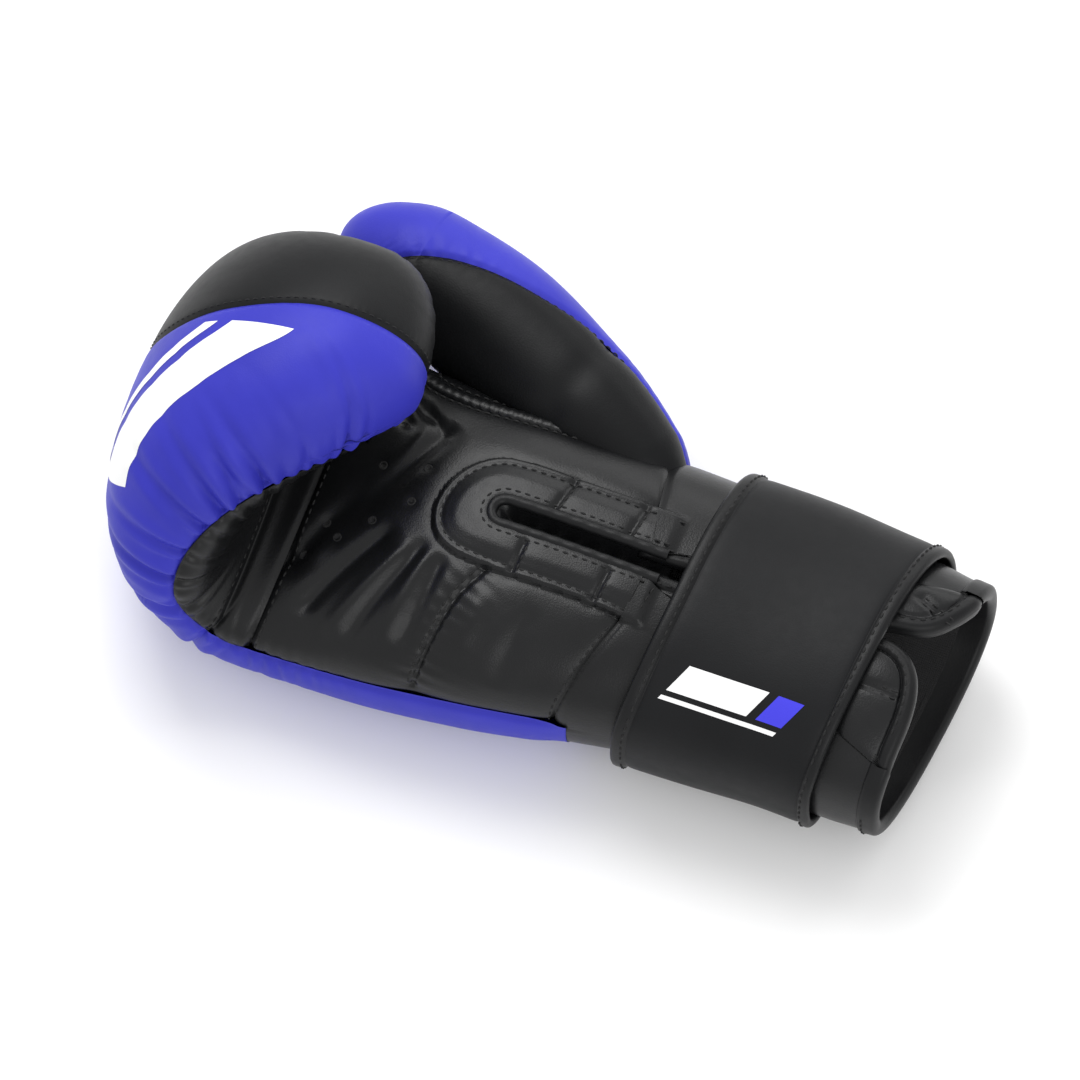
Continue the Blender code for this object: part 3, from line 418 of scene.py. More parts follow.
FOLDS = [  # soft folds of the palm: line, depth, half width
    (plan_seam([(-84.0, -38.0), (-76.4, -28.4), (-63.0, -6.0), (-50.7, 15.1), (-40.7, 36.0)]), -3.0, 5.2),
    (plan_seam([(-73.5, -34.0), (-68.0, -18.9), (-57.0, 8.0), (-47.0, 33.0)]), 1.6, 4.0),
    (plan_seam([(-70.0, -52.0), (-62.0, -36.0), (-46.0, -10.0)]), -1.9, 3.6),
    (plan_seam([(-58.0, -56.0), (-51.0, -40.0), (-38.0, -15.0)]), 1.3, 3.6),
    (plan_seam([(-50.0, -57.0), (-45.5, -42.0), (-33.0, -12.0)]), -1.6, 3.4),
    (plan_seam([(-30.5, -54.0), (-28.5, -40.0), (-26.8, -14.0)]), -1.6, 3.1),
    (plan_seam([(-38.0, -55.0), (-36.0, -42.0), (-31.5, -14.0)]), 1.0, 3.2),
    (plan_seam([(-12.0, -50.0), (-9.0, -38.0), (-7.5, -24.0)]), 0.9, 4.5),
    (plan_seam([(6.0, -54.0), (8.5, -38.0), (12.0, -24.0)]), -0.8, 4.0),
    (plan_seam([(-62.0, 46.0), (-56.0, 38.0), (-48.0, 31.0)]), -2.2, 2.4),
    (plan_seam([(-56.0, 44.0), (-51.5, 37.0), (-45.0, 29.0)]), -1.7, 2.0),
    (plan_seam([(-67.0, 44.0), (-61.0, 34.0), (-53.0, 25.0)]), -1.5, 2.6),
]
VENTS = plan(np.array([-59.9, -43.9, -44.8, -55.7, -58.9, -65.4, -75.4, -71.9]), np.array([10.4, 13.0, -1.4, -11.6, 28.7, -20.7, -29.0, -15.4]))
VENTS = mitt(*VENTS)

# pleats that gather the blue shell to the black along the lip: place along the seam, depth, half width, length, lean
_len = LIP.s[-1]


def lip_s(lb):
    return float(np.interp(lb, LIP.lb, LIP.s))


PLEATS = []
_at = lip_s(203.0)
DEEP = ((183.5, 2.9, 2.0), (192.5, 3.0, 1.8), (199.5, 2.6, 1.9), (210.5, 3.4, 2.3), (238.5, 3.6, 2.3), (128.0, 2.4, 1.6), (143.0, 2.5, 1.7), (158.0, 2.7, 1.7), (171.0, 2.6, 1.7))
while _at < 246.0:
    u = float(np.interp(_at, (76, 96, 118, 190, 222, 246), (0.2, 0.75, 1.0, 1.0, 0.75, 0.6)))
    far = float(np.interp(_at, (76, 100, 122, 150, 190, 246), (10, 13, 18, 25, 29, 27)))
    if min(abs(_at - d_[0]) for d_ in DEEP) > 3.6:
        PLEATS.append((_at, u * RNG.uniform(0.9, 1.9), RNG.uniform(1.1, 1.8), far * RNG.uniform(0.7, 1.1), RNG.uniform(-0.2, 0.2)))
    _at += RNG.uniform(4.6, 7.2)
for _s, _d, _w in DEEP:
    PLEATS.append((_s, _d, _w, float(np.interp(_s, (120, 150, 190, 246), (19, 26, 27, 24))) * 1.05, RNG.uniform(-0.12, 0.12)))
PLEATS_T = [(q, RNG.uniform(0.5, 1.2), RNG.uniform(1.1, 1.7), RNG.uniform(7, 12), RNG.uniform(-0.2, 0.2))
            for q in np.arange(22.0, LIP_T.s[-1] - 8.0, 6.3) + RNG.uniform(-1, 1, len(np.arange(22.0, LIP_T.s[-1] - 8.0, 6.3)))]


def pleats(d, s, table):
    """Valleys square to the seam that run out away from it, with full folds between them."""
    h = np.zeros_like(d)
    for at, depth, w, length, lean in table:
        x = s - at - lean * d
        run = np.exp(-(d / length) ** 1.7) * smooth(d / 1.2)
        h -= depth * run * np.exp(-np.abs(x / w) ** 1.5)
        h += 0.36 * depth * run * (g(x - 2.9, 1.8) + g(x + 2.9, 1.8))
    return h


def shell_height(p):
    """How far the blue shell and the black side panel stand off the bare mitt."""
    d, s = LIP.near(p, 44)
    h = 1.9 * (1 - np.exp(-d / 6.0)) - 1.3 * g(d, 1.5) + pleats(d, s, PLEATS)
    dt, st = LIP_T.near(p, 24)
    h += -1.0 * np.exp(-dt / 5.0) - 0.8 * g(dt, 1.4) + pleats(dt, st, PLEATS_T)
    dc, sc = CROWN.near(p, 14)
    h += -0.85 * g(dc, 1.1) - 0.55 * np.exp(-dc / 4.0) + 0.05 * np.sin(sc * 2.1) * g(dc - 2.2, 1.6)
    dx, _ = SIDE_T.near(p, 16)
    h += -1.0 * np.exp(-dx / 5.0) - 0.8 * g(dx, 1.4)
    soft = 0.22 * np.sin(p[..., 0] / 17.0 + 1.1 * np.sin(p[..., 1] / 23.0)) * np.sin(p[..., 2] / 15.0 + p[..., 1] / 19.0)
    start = smooth((CUFF_X - 122.0 - p[..., 0]) / 14.0)
    floor = smooth((p[..., 2] - 1.5) / 8.0)           # it lies on its back, so the base stays flat
    return (h * (0.25 + 0.75 * start) + soft) * (0.15 + 0.85 * floor)


def finger_height(p):
    d, s = LIP.near(p, 24)
    h = -1.4 * np.exp(-d / 3.5) + 0.5 * pleats(d, s, [(a, b, c, e * 0.6, f) for a, b, c, e, f in PLEATS])
    for seam in (PALM_END, FINGER_2):
        q, _ = seam.near(p, 16)
        h += -1.0 * g(q, 1.3) - 1.4 * np.exp(-q / 4.5)
    q, _ = LIP_T.near(p, 16)
    return h - 1.2 * np.exp(-q / 4.0) + 0.8


def palm_height(p):
    """How far the palm's leather stands off the bare mitt: padded between its seams, folded where the hand closes."""
    x, y = p[..., 0], p[..., 1]
    d, s = LIP.near(p, 24)
    h = -1.1 * np.exp(-d / 4.0) - 0.8 * g(d, 1.3)
    e, f = LIP.near(p, 14)
    h += 0.35 * pleats(e, f, [(a, b, c, k * 0.5, m) for a, b, c, k, m in PLEATS])
    q, _ = PALM_END.near(p, 18)
    h += -1.3 * np.exp(-q / 5.0) - 1.0 * g(q, 1.2)
    q, hs = HEEL.near(p, 16)
    h += -1.5 * np.exp(-q / 4.5) - 0.9 * g(q, 1.1)
    q, _ = TRANSVERSE.near(p, 16)
    on_u = inside(U_POLY, x, y)
    h += np.where(on_u, 0, -1.3 * np.exp(-q / 4.5) - 0.9 * g(q, 1.1))
    for seam, depth, w in FOLDS:
        q, a = seam.near(p, w * 3.5)
        run = smooth(a / 9.0) * smooth((seam.s[-1] - a) / 9.0)
        away = 1.0 if w < 3 else smooth((edge_u(x, y) + 1.0) / 7.0)
        h += depth * g(q, w) * run * np.where(on_u, 0.0, away)
    # the thumb welt pulls the palm down beside it
    q, a = WELT.near(p, 16)
    h += -1.5 * np.exp(-q / 4.0)
    # puckers that run into the heel seam and the lip
    h += 0.28 * np.sin(hs_of(HEEL, p) * 1.15) * np.exp(-HEEL.near(p, 14)[0] / 5.5)
    # the patch round the slit is a second layer
    du = edge_u(x, y)
    up = np.where(on_u, 1.5 * smooth(du / 1.3 + 0.25), -0.9 * np.exp(-du / 2.2))
    h += up + np.where(on_u, -0.55 * g(du - 3.1, 0.9) + 0.8 * smooth((du - 4.0) / 5.0), 0)
    for seam in LADDER:
        q, _ = seam.near(p, 12)
        h += -0.9 * g(q, 1.0) - 0.75 * np.exp(-q / 2.6)
    ds = slit_distance(x, y)
    h += np.where(on_u, -0.8 * g(ds - 4.6, 1.3) - 0.5 * np.exp(-np.maximum(ds - 3.0, 0) / 3.0), 0)
    v = np.full(x.shape, 99.0)
    for c in VENTS:
        v = np.minimum(v, np.linalg.norm(p - c, axis=-1))
    h += -0.45 * g(v, 2.2)
    h += 0.07 * np.sin(x / 5.1 + 2.0 * np.sin(y / 9.0)) * np.sin(y / 6.3 + 1.7) * np.where(on_u, 0.3, 1.0)
    return h


def edge_u(x, y):
    return edge_distance(U_EDGE[::2], x, y)[0]


def hs_of(seam, p):
    return seam.near(p, 14)[1]


def slit_distance(x, y):
    """Distance in plan from the slit's middle line."""
    return np.where(x < SLIT_X0 + SLIT_HALF, np.hypot(x - SLIT_X0 - SLIT_HALF, y - SLIT_Y), np.abs(y - SLIT_Y))


def cuff_height(p):
    x, y = p[..., 0], p[..., 1]
    q, _ = TRANSVERSE.near(p, 14)
    h = np.where(p[..., 2] > 40, -1.3 * np.exp(-q / 4.5) - 0.9 * g(q, 1.1), 0.0)
    on_u = inside(U_POLY, x, y) & (p[..., 2] > 50)
    du = edge_u(x, y)
    return h * np.where(on_u, 0, 1) + np.where(on_u, 1.5 * smooth(du / 1.3 + 0.25), 0) * (1 - smooth((x - 46) / 4))


# ---------------------------------------------------------------- mesh helpers
def make(name, pts, faces, mat, normals=None, smooth_shade=True):
    """A mesh from frame-metre points; loose points are dropped."""
    faces = [tuple(int(i) for i in f) for f in faces]
    used = np.zeros(len(pts), bool)
    for f in faces:
        used[list(f)] = True
    index = np.cumsum(used) - 1
    me = bpy.data.meshes.new(name)
    me.from_pydata([tuple(p) for p in np.asarray(pts)[used]], [], [tuple(int(index[i]) for i in f) for f in faces])
    me.update()
    if smooth_shade:
        me.shade_smooth()
    if normals is not None:
        me.normals_split_custom_set_from_vertices([tuple(n) for n in np.asarray(normals)[used]])
    o = bpy.data.objects.new(name, me)
    me.materials.append(mat)
    bpy.context.scene.collection.objects.link(o)
    return o


def grid_faces(ni, nj, closed=False, flip=False):
    i, j = np.meshgrid(np.arange(ni - 1), np.arange(nj if closed else nj - 1), indexing="ij")
    k = (j + 1) % nj
    f = np.stack([i * nj + j, i * nj + k, (i + 1) * nj + k, (i + 1) * nj + j], -1).reshape(-1, 4)
    return f[:, ::-1] if flip else f


def grid_normals(p, faces):
    """Vertex normals from the faces, summed by area."""
    q = p.reshape(-1, 3)
    a, b = q[faces[:, 2]] - q[faces[:, 0]], q[faces[:, 3]] - q[faces[:, 1]]
    fn = np.cross(a, b)
    n = np.zeros_like(q)
    for k in range(4):
        np.add.at(n, faces[:, k], fn)
    return normalised(n)


def facing(p, faces, outward):
    """The faces turned so that most of them look along outward."""
    q = p.reshape(-1, 3)
    fn = np.cross(q[faces[:, 2]] - q[faces[:, 0]], q[faces[:, 3]] - q[faces[:, 1]])
    o = outward.reshape(-1, 3)[faces[:, 0]]
    return faces if np.sum(fn * o) > 0 else faces[:, ::-1]


def skin(name, lb, th, height, mat, lift=0.0):
    """Points, faces and normals of a grid of the mitt's skin, in millimetres."""
    p = mitt(lb, th)
    n = mitt_normal(lb, th)
    q = p + n * (height(p) + lift)[..., None]
    f = facing(q, grid_faces(*lb.shape), n)
    return q, f, grid_normals(q, f)


def ride(o, body, slot, *nodes, pad=None):
    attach(o, body)
    if nodes:
        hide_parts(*nodes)
    return o


_cap = None


def capsule():
    """Unit stitch: points along X from -1 to 1, radius 1, and its faces."""
    global _cap
    if _cap is None:
        xs, rs = (-1.0, -0.8, -0.3, 0.3, 0.8, 1.0), (0.25, 0.75, 1.0, 1.0, 0.75, 0.25)
        m = 6
        v = [(x, r * math.cos(2 * math.pi * k / m), r * math.sin(2 * math.pi * k / m)) for x, r in zip(xs, rs) for k in range(m)]
        f = [(i * m + k, (i + 1) * m + k, (i + 1) * m + (k + 1) % m, i * m + (k + 1) % m) for i in range(len(xs) - 1) for k in range(m)]
        f += [tuple(range(m)), tuple((len(xs) - 1) * m + k for k in reversed(range(m)))]
        _cap = (np.array(v), f)
    return _cap


def stitches(name, rows, mat, pitch=3.7, length=2.5, radius=0.4, sink=0.26):
    """One mesh of thread lengths.  rows: (points, normals) in millimetres, each a line on the skin."""
    v0, f0 = capsule()
    pts, faces = [], []
    for p, n in rows:
        both = resample(np.concatenate([p, n], 1), 0.25) if len(p) > 1 else None
        p, n = both[:, :3], normalised(both[:, 3:])
        s = np.concatenate([[0], np.cumsum(np.linalg.norm(np.diff(p, axis=0), axis=1))])
        for c in np.arange(pitch * 0.5, s[-1] - length * 0.5, pitch):
            a, b = np.array([np.interp(c - length / 2, s, p[:, k]) for k in range(3)]), np.array([np.interp(c + length / 2, s, p[:, k]) for k in range(3)])
            m = np.array([np.interp(c, s, p[:, k]) for k in range(3)])
            nn = normalised(np.array([np.interp(c, s, n[:, k]) for k in range(3)]))
            t = normalised(b - a)
            side = normalised(np.cross(nn, t))
            bow = (v0[:, :1] ** 2) * -0.35
            w = m + v0[:, :1] * t * (length / 2) + (v0[:, 1:2] * side + v0[:, 2:3] * nn) * radius + nn * (bow + radius - sink)
            faces += [tuple(i + len(pts) * len(v0) for i in f) for f in f0]
            pts.append(w)
    return make(name, to_frame(np.concatenate(pts)), faces, mat)


def on_skin(lb, th, height, off=0.0, lift=0.0):
    """A line on the displaced skin, moved sideways by off millimetres."""
    p, n = mitt(lb, th), mitt_normal(lb, th)
    t = normalised(np.gradient(p, axis=0))
    q = p + normalised(np.cross(n, t)) * off
    return q + n * (height(q) + lift)[:, None], n


def seam_row(seam, height, off=0.0, lo=0.0, hi=1.0):
    k = slice(int(len(seam.lb) * lo), max(2, int(len(seam.lb) * hi)))
    return on_skin(seam.lb[k], seam.th[k], height, off)


def sweep(name, line, normals, profile, mat, ends=True):
    """A band along a line: profile (across, up) in millimetres, open, swept on the skin."""
    t = normalised(np.gradient(line, axis=0))
    side = normalised(np.cross(normals, t))
    profile = np.asarray(profile, float)
    q = line[:, None] + side[:, None] * profile[None, :, :1] + normals[:, None] * profile[None, :, 1:2]
    f = facing(q, grid_faces(*q.shape[:2]), np.repeat(normals[:, None], len(profile), 1))
    return make(name, to_frame(q.reshape(-1, 3)), f, mat, grid_normals(q, f))


# ---------------------------------------------------------------- materials
def principled(name, colour, rough):
    m = bpy.data.materials.new(name)
    m.use_nodes = True
    b = m.node_tree.nodes["Principled BSDF"]
    b.inputs["Base Color"].default_value = (*colour, 1)
    b.inputs["Roughness"].default_value = rough
    return m, m.node_tree, b


def leather(name, dark, light, rough, grain=1500.0, depth=0.00006, spec=0.5, wear=None):
    """Coated leather: fine pebble grain, slow variation of its colour and gloss."""
    m, t, b = principled(name, dark, rough)
    co = t.nodes.new("ShaderNodeTexCoord")
    slow = t.nodes.new("ShaderNodeTexNoise")
    slow.inputs["Scale"].default_value = 28.0
    slow.inputs["Detail"].default_value = 4.0
    t.links.new(co.outputs["Object"], slow.inputs["Vector"])
    ramp = t.nodes.new("ShaderNodeValToRGB")
    ramp.color_ramp.elements[0].position, ramp.color_ramp.elements[0].color = 0.3, (*dark, 1)
    ramp.color_ramp.elements[1].position, ramp.color_ramp.elements[1].color = 0.75, (*light, 1)
    t.links.new(slow.outputs["Fac"], ramp.inputs["Fac"])
    t.links.new(ramp.outputs["Color"], b.inputs["Base Color"])
    fine = t.nodes.new("ShaderNodeTexNoise")
    fine.inputs["Scale"].default_value = 260.0
    fine.inputs["Detail"].default_value = 3.0
    t.links.new(co.outputs["Object"], fine.inputs["Vector"])
    rr = t.nodes.new("ShaderNodeMapRange")
    rr.inputs["To Min"].default_value, rr.inputs["To Max"].default_value = rough - 0.06, rough + 0.07
    t.links.new(fine.outputs["Fac"], rr.inputs["Value"])
    t.links.new(rr.outputs["Result"], b.inputs["Roughness"])
    pebble = t.nodes.new("ShaderNodeTexVoronoi")
    pebble.feature = "F1"
    pebble.inputs["Scale"].default_value = grain
    pebble.inputs["Randomness"].default_value = 0.9
    t.links.new(co.outputs["Object"], pebble.inputs["Vector"])
    crease = t.nodes.new("ShaderNodeTexNoise")
    crease.inputs["Scale"].default_value = grain * 0.28
    crease.inputs["Detail"].default_value = 6.0
    t.links.new(co.outputs["Object"], crease.inputs["Vector"])
    add = t.nodes.new("ShaderNodeMath")
    add.operation = "MULTIPLY_ADD"
    t.links.new(crease.outputs["Fac"], add.inputs[0])
    add.inputs[1].default_value = 1.1
    t.links.new(pebble.outputs["Distance"], add.inputs[2])
    bump = t.nodes.new("ShaderNodeBump")
    bump.inputs["Strength"].default_value = 0.55
    bump.inputs["Distance"].default_value = depth
    t.links.new(add.outputs["Value"], bump.inputs["Height"])
    t.links.new(bump.outputs["Normal"], b.inputs["Normal"])
    b.inputs["Specular IOR Level"].default_value = spec
    return m


def fabric(name, dark, light, rough, scale, depth, sheen=0.0, pile=False):
    m, t, b = principled(name, dark, rough)
    co = t.nodes.new("ShaderNodeTexCoord")
    heights = []
    if pile:
        n = t.nodes.new("ShaderNodeTexNoise")
        n.inputs["Scale"].default_value = scale
        n.inputs["Detail"].default_value = 8.0
        n.inputs["Roughness"].default_value = 0.7
        t.links.new(co.outputs["Object"], n.inputs["Vector"])
        heights = [n.outputs["Fac"]]
    else:
        for d in ("X", "Y"):
            w = t.nodes.new("ShaderNodeTexWave")
            w.bands_direction = d
            w.inputs["Scale"].default_value = scale
            w.inputs["Distortion"].default_value = 0.4
            t.links.new(co.outputs["Object"], w.inputs["Vector"])
            heights.append(w.outputs["Fac"])
    out = heights[0]
    if len(heights) == 2:
        mx = t.nodes.new("ShaderNodeMath")
        mx.operation = "MAXIMUM"
        t.links.new(heights[0], mx.inputs[0])
        t.links.new(heights[1], mx.inputs[1])
        out = mx.outputs["Value"]
    ramp = t.nodes.new("ShaderNodeValToRGB")
    ramp.color_ramp.elements[0].position, ramp.color_ramp.elements[0].color = 0.25, (*dark, 1)
    ramp.color_ramp.elements[1].position, ramp.color_ramp.elements[1].color = 0.8, (*light, 1)
    t.links.new(out, ramp.inputs["Fac"])
    t.links.new(ramp.outputs["Color"], b.inputs["Base Color"])
    bump = t.nodes.new("ShaderNodeBump")
    bump.inputs["Strength"].default_value = 0.8
    bump.inputs["Distance"].default_value = depth
    t.links.new(out, bump.inputs["Height"])
    t.links.new(bump.outputs["Normal"], b.inputs["Normal"])
    if sheen:
        b.inputs["Sheen Weight"].default_value = sheen
    return m


BLUE = leather("blue_leather", (0.028, 0.029, 0.36), (0.036, 0.037, 0.44), 0.48, depth=0.00005, spec=0.2)
BLACK = leather("black_leather", (0.0045, 0.0047, 0.0052), (0.0075, 0.0078, 0.0085), 0.33, depth=0.00007, spec=0.28)
# darker copy of the black leather for the thumb's inner side: its darker colour is painted shade, since that side faces
# away from the light; its higher roughness and lower specular give a duller finish
DULL_SHADED_BLACK = leather("side_leather_painted_shade", (0.0035, 0.0037, 0.0042), (0.0055, 0.0058, 0.0064), 0.44, depth=0.00005, spec=0.15)
STRAP_BLACK = leather("strap_leather", (0.0058, 0.0061, 0.0068), (0.0085, 0.0088, 0.0098), 0.46, grain=1700.0, depth=0.00004, spec=0.15)
PIPING = leather("binding_leather", (0.0045, 0.0047, 0.0052), (0.0078, 0.008, 0.0087), 0.4, depth=0.00005, spec=0.2)
PRINT = leather("white_print", (0.80, 0.80, 0.80), (0.86, 0.86, 0.86), 0.5, depth=0.00003, spec=0.3)
PRINT_BLUE = leather("blue_print", (0.045, 0.04, 0.6), (0.055, 0.05, 0.68), 0.5, depth=0.00003, spec=0.25)
THREAD = fabric("thread", (0.002, 0.002, 0.0022), (0.006, 0.006, 0.0065), 0.8, 900.0, 0.00008)
LINER = fabric("lining_weave", (0.004, 0.004, 0.0045), (0.011, 0.011, 0.012), 0.85, 420.0, 0.00015, sheen=0.15)
WEB = fabric("strap_lining", (0.009, 0.009, 0.01), (0.016, 0.016, 0.017), 0.8, 500.0, 0.0001)
PILE = fabric("loop_pile", (0.004, 0.004, 0.0045), (0.016, 0.016, 0.017), 0.95, 900.0, 0.0008, sheen=0.4, pile=True)
HOOKS = fabric("hook_pile", (0.006, 0.006, 0.0065), (0.02, 0.02, 0.021), 0.6, 1300.0, 0.0006, pile=True)
FOAM = fabric("foam_grain", (0.42, 0.40, 0.34), (0.55, 0.53, 0.46), 0.9, 700.0, 0.0002, pile=True)

# ---------------------------------------------------------------- back shell, side panel, finger panel
rows = np.concatenate([np.arange(121.8, 210.0, 1.5), np.arange(210.0, CAP_LB, 0.62),
                       CAP_LB + (TIP_LB - CAP_LB) * np.sin(np.linspace(0, math.pi / 2, 150)) - 0.02])
u = np.linspace(0, 1, 210)
_e = black_edge(rows)
lb = np.repeat(rows[:, None], len(u), 1)
# columns are closer together near the little-finger seam, where the pleats are
th = PINKY_SEAM - 0.3 + (_e - PINKY_SEAM + 0.3)[:, None] * (0.78 * u + 0.22 * u**2)[None, :]
q, f, n = skin("back_shell", lb, th, shell_height, BLUE)
back_shell = ride(make("back_shell_skin", to_frame(q.reshape(-1, 3)), f, BLUE, n), "hand", "blue_leather", "back_shell", "knuckle_foam", pad=0.9)
rows_b = rows[(rows > 215.0)]
ub = np.linspace(0, 1, 70)
_e = black_edge(rows_b)
lb = np.repeat(rows_b[:, None], len(ub), 1)
th = _e[:, None] + (364.6 - _e)[:, None] * ub[None, :]
q, f, n = skin("side", lb, th, shell_height, BLACK)
side_panel = ride(make("fist_side_panel_skin", to_frame(q.reshape(-1, 3)), f, STRAP_BLACK, n), "hand", "black_leather", "fist_side_panel", pad=0.9)
rows_f = np.concatenate([np.arange(236.0, CAP_LB, 0.9), CAP_LB + (TIP_LB - CAP_LB) * np.sin(np.linspace(0, math.pi / 2, 90)) - 0.02])
lb, th = np.meshgrid(rows_f, np.linspace(THUMB_SEAM - 1.2, PINKY_SEAM + 0.3, 120), indexing="ij")
q, f, n = skin("finger", lb, th, finger_height, BLACK)
finger_panel = ride(make("finger_panel_skin", to_frame(q.reshape(-1, 3)), f, BLACK, n), "hand", "black_leather", "finger_panel", "finger_foam", pad=0.7)

# ---------------------------------------------------------------- palm: main panel, heel panel and the slit's patch, cut from one surface
FOLD_GAP = 0.8


def fold_line(sign, offset):
    x0, y0, x1, y1 = FLAP_X0, SLIT_Y + sign * 2.2, FLAP_END[sign], FOLD_Y[sign]
    k = (y1 - y0) / (x1 - x0)
    return lambda x: y0 + k * (x - x0) + sign * offset * math.sqrt(1 + k * k)


FP_, FT_ = fold_line(-1, 0.2), fold_line(1, 0.2)
_arc = [(SLIT_X0 + SLIT_HALF + SLIT_HALF * math.cos(a), SLIT_Y + SLIT_HALF * math.sin(a)) for a in np.linspace(math.pi / 2, math.pi * 1.5, 17)]
OPEN_LINE = np.array([(175, FT_(151)), (151, FT_(151)), (FLAP_X0 + 6, FT_(FLAP_X0 + 6)), (FLAP_X0 + 1, SLIT_Y + SLIT_HALF)] + _arc
                     + [(FLAP_X0 + 1, SLIT_Y - SLIT_HALF), (FLAP_X0 + 6, FP_(FLAP_X0 + 6)), (143.5, FP_(143.5)), (175, FP_(143.5))], float)


def trim(p, faces, line, z_over=40.0):
    """Drops the faces inside the outline in plan whose middles lie above z_over.  Returns the kept faces and the
    indices of the points on the new edge.
    """
    q = p.reshape(-1, 3).copy()
    c = q[faces].mean(1)
    gone = inside(line, c[:, 0], c[:, 1]) & (c[:, 2] > z_over)
    kept = faces[~gone]
    edge = np.intersect1d(np.unique(kept), np.unique(faces[gone])) if gone.any() else np.array([], int)
    return kept, edge


th_p = np.linspace(THUMB_SEAM - 1.6, PINKY_SEAM + 0.3, 250)
y_at = mitt(np.full_like(th_p, 120.0), th_p)[:, 1]
start = plan(transverse_x(y_at), np.clip(y_at, -54, 54))[0]
start = np.where(np.abs(y_at) > 54, np.interp(y_at, (-60, -54, 54, 60), (126.0, start[-1] if False else 126.0, 121.5, 121.5)), start)
w = np.linspace(0, 1, 165)
lb = start[None, :] + (236.2 - start)[None, :] * w[:, None]
th = np.repeat(th_p[None, :], len(w), 0)
p = mitt(lb, th)
faces = grid_faces(*lb.shape)
faces, edge = trim(p, faces, OPEN_LINE)
xy = p.reshape(-1, 3)[:, :2].copy()
_, snap = edge_distance(OPEN_LINE, xy[edge, 0], xy[edge, 1])
l2, t2 = plan(snap[:, 0], snap[:, 1])
lbf, thf = lb.reshape(-1).copy(), th.reshape(-1).copy()
lbf[edge], thf[edge] = l2, t2
p = mitt(lbf, thf)
n0 = mitt_normal(lbf, thf)
palm_h = palm_height(p)
q = p + n0 * palm_h[:, None]
faces = facing(q, faces, n0)
n = grid_normals(q, faces)
c = p[faces].mean(1)
on_u = inside(U_POLY, c[:, 0], c[:, 1])
heel_x = np.interp(c[:, 1], (-60, -54, -44, -31, -18.3), (-22.5, -21.5, -20.0, -17.0, -10.9))
heel = (c[:, 0] > heel_x) & (c[:, 1] < -10) & ~on_u
for nm, sel, nodes in (("slit_patch_skin", on_u, ("slit_patch",)), ("heel_panel_skin", heel, ("heel_panel",)), ("palm_panel_skin", ~on_u & ~heel, ("palm_panel", "palm_foam"))):
    ride(make(nm, to_frame(q), faces[sel], BLACK, n), "hand", "black_leather", *nodes, pad=0.7)

# the slit's piping and the gusset folded down inside it
_pl = np.concatenate([[(48.0, SLIT_Y + 5.0)], [(SLIT_X0 + SLIT_HALF + 5.0 * math.cos(a), SLIT_Y + 5.0 * math.sin(a)) for a in np.linspace(math.pi / 2, math.pi * 1.5, 22)], [(48.0, SLIT_Y - 5.0)]])
_pl = resample(_pl, 0.9)
_l, _t = plan(_pl[:, 0], _pl[:, 1])
pp, pn = mitt(_l, _t), mitt_normal(_l, _t)
pp = pp + pn * (1.1 + 0.12 * np.sin(np.arange(len(pp)) * 0.9))[:, None]
prof = [(2.15 * math.cos(a) * (1 if abs(math.cos(a)) < 0.98 else 1), -0.6 + 2.0 * math.sin(a)) for a in np.linspace(-0.5, math.pi + 0.5, 15)]
ride(sweep("slit_piping", pp, pn, prof, PIPING), "hand", "black_leather")
gx = np.linspace(SLIT_X0 + 0.8, 50.0, 90)
gy = np.linspace(-1, 1, 15)
GX, GY = np.meshgrid(gx, gy, indexing="ij")
half = np.sqrt(np.maximum(0.05, 1 - np.clip((SLIT_X0 + 5.4 - GX) / 5.4, 0, 1) ** 2)) * 4.2
top = mitt(*plan(GX, SLIT_Y + GY * half))[..., 2]
gz = top - 0.5 - 7.5 * (1 - np.abs(GY) ** 1.5) * smooth((GX - SLIT_X0) / 9.0) + 0.5 * np.sin(GX * 0.8 + GY * 2) * (1 - np.abs(GY))
q = np.stack([GX, SLIT_Y + GY * half, gz], -1)
f = facing(q, grid_faces(*q.shape[:2]), np.zeros_like(q) + np.array([0, 0, 1.0]))
ride(make("slit_gusset_skin", to_frame(q.reshape(-1, 3)), f, BLACK, grid_normals(q, f)), "hand", "black_leather", "slit_gusset")

# welt between the palm and the thumb
wp, wn = on_skin(WELT.lb, WELT.th, palm_height, 0.0, 1.2)
taper = np.minimum(1, np.minimum(np.linspace(0, 12, len(wp)), np.linspace(7, 0, len(wp))) + 0.15)
t = normalised(np.gradient(wp, axis=0))
sd = normalised(np.cross(wn, t))
ang = np.linspace(-0.6, math.pi + 0.6, 17)
q = wp[:, None] + (sd[:, None] * (np.cos(ang) * 2.9)[None, :, None] + wn[:, None] * (np.sin(ang) * 2.3 - 0.9)[None, :, None]) * taper[:, None, None]
q += wn[:, None] * (0.14 * np.sin(WELT.s * 1.75))[:, None, None]
f = facing(q, grid_faces(*q.shape[:2]), np.repeat(wn[:, None], len(ang), 1))
ride(make("thumb_welt_skin", to_frame(q.reshape(-1, 3)), f, BLACK, grid_normals(q, f)), "hand", "black_leather", "thumb_welt")

# ---------------------------------------------------------------- thumb


def seam_a(v):
    """Angle of the blue to black seam on the thumb's palm side: it runs up and over towards the tip."""
    return curve_through((0.0, 0.2, 0.28, 0.40, 0.53, 0.66, 0.81, 0.88, 0.93, 1.0), (29, 30, 33.5, 42, 64, 80, 102, 122, 156, 156), v)


def seam_b(v):
    """Angle of the other seam, on the side that faces the fist."""
    return curve_through((0.0, 0.6, 0.75, 0.86, 0.93, 1.0), (208, 208, 202, 188, 156, 156), v)




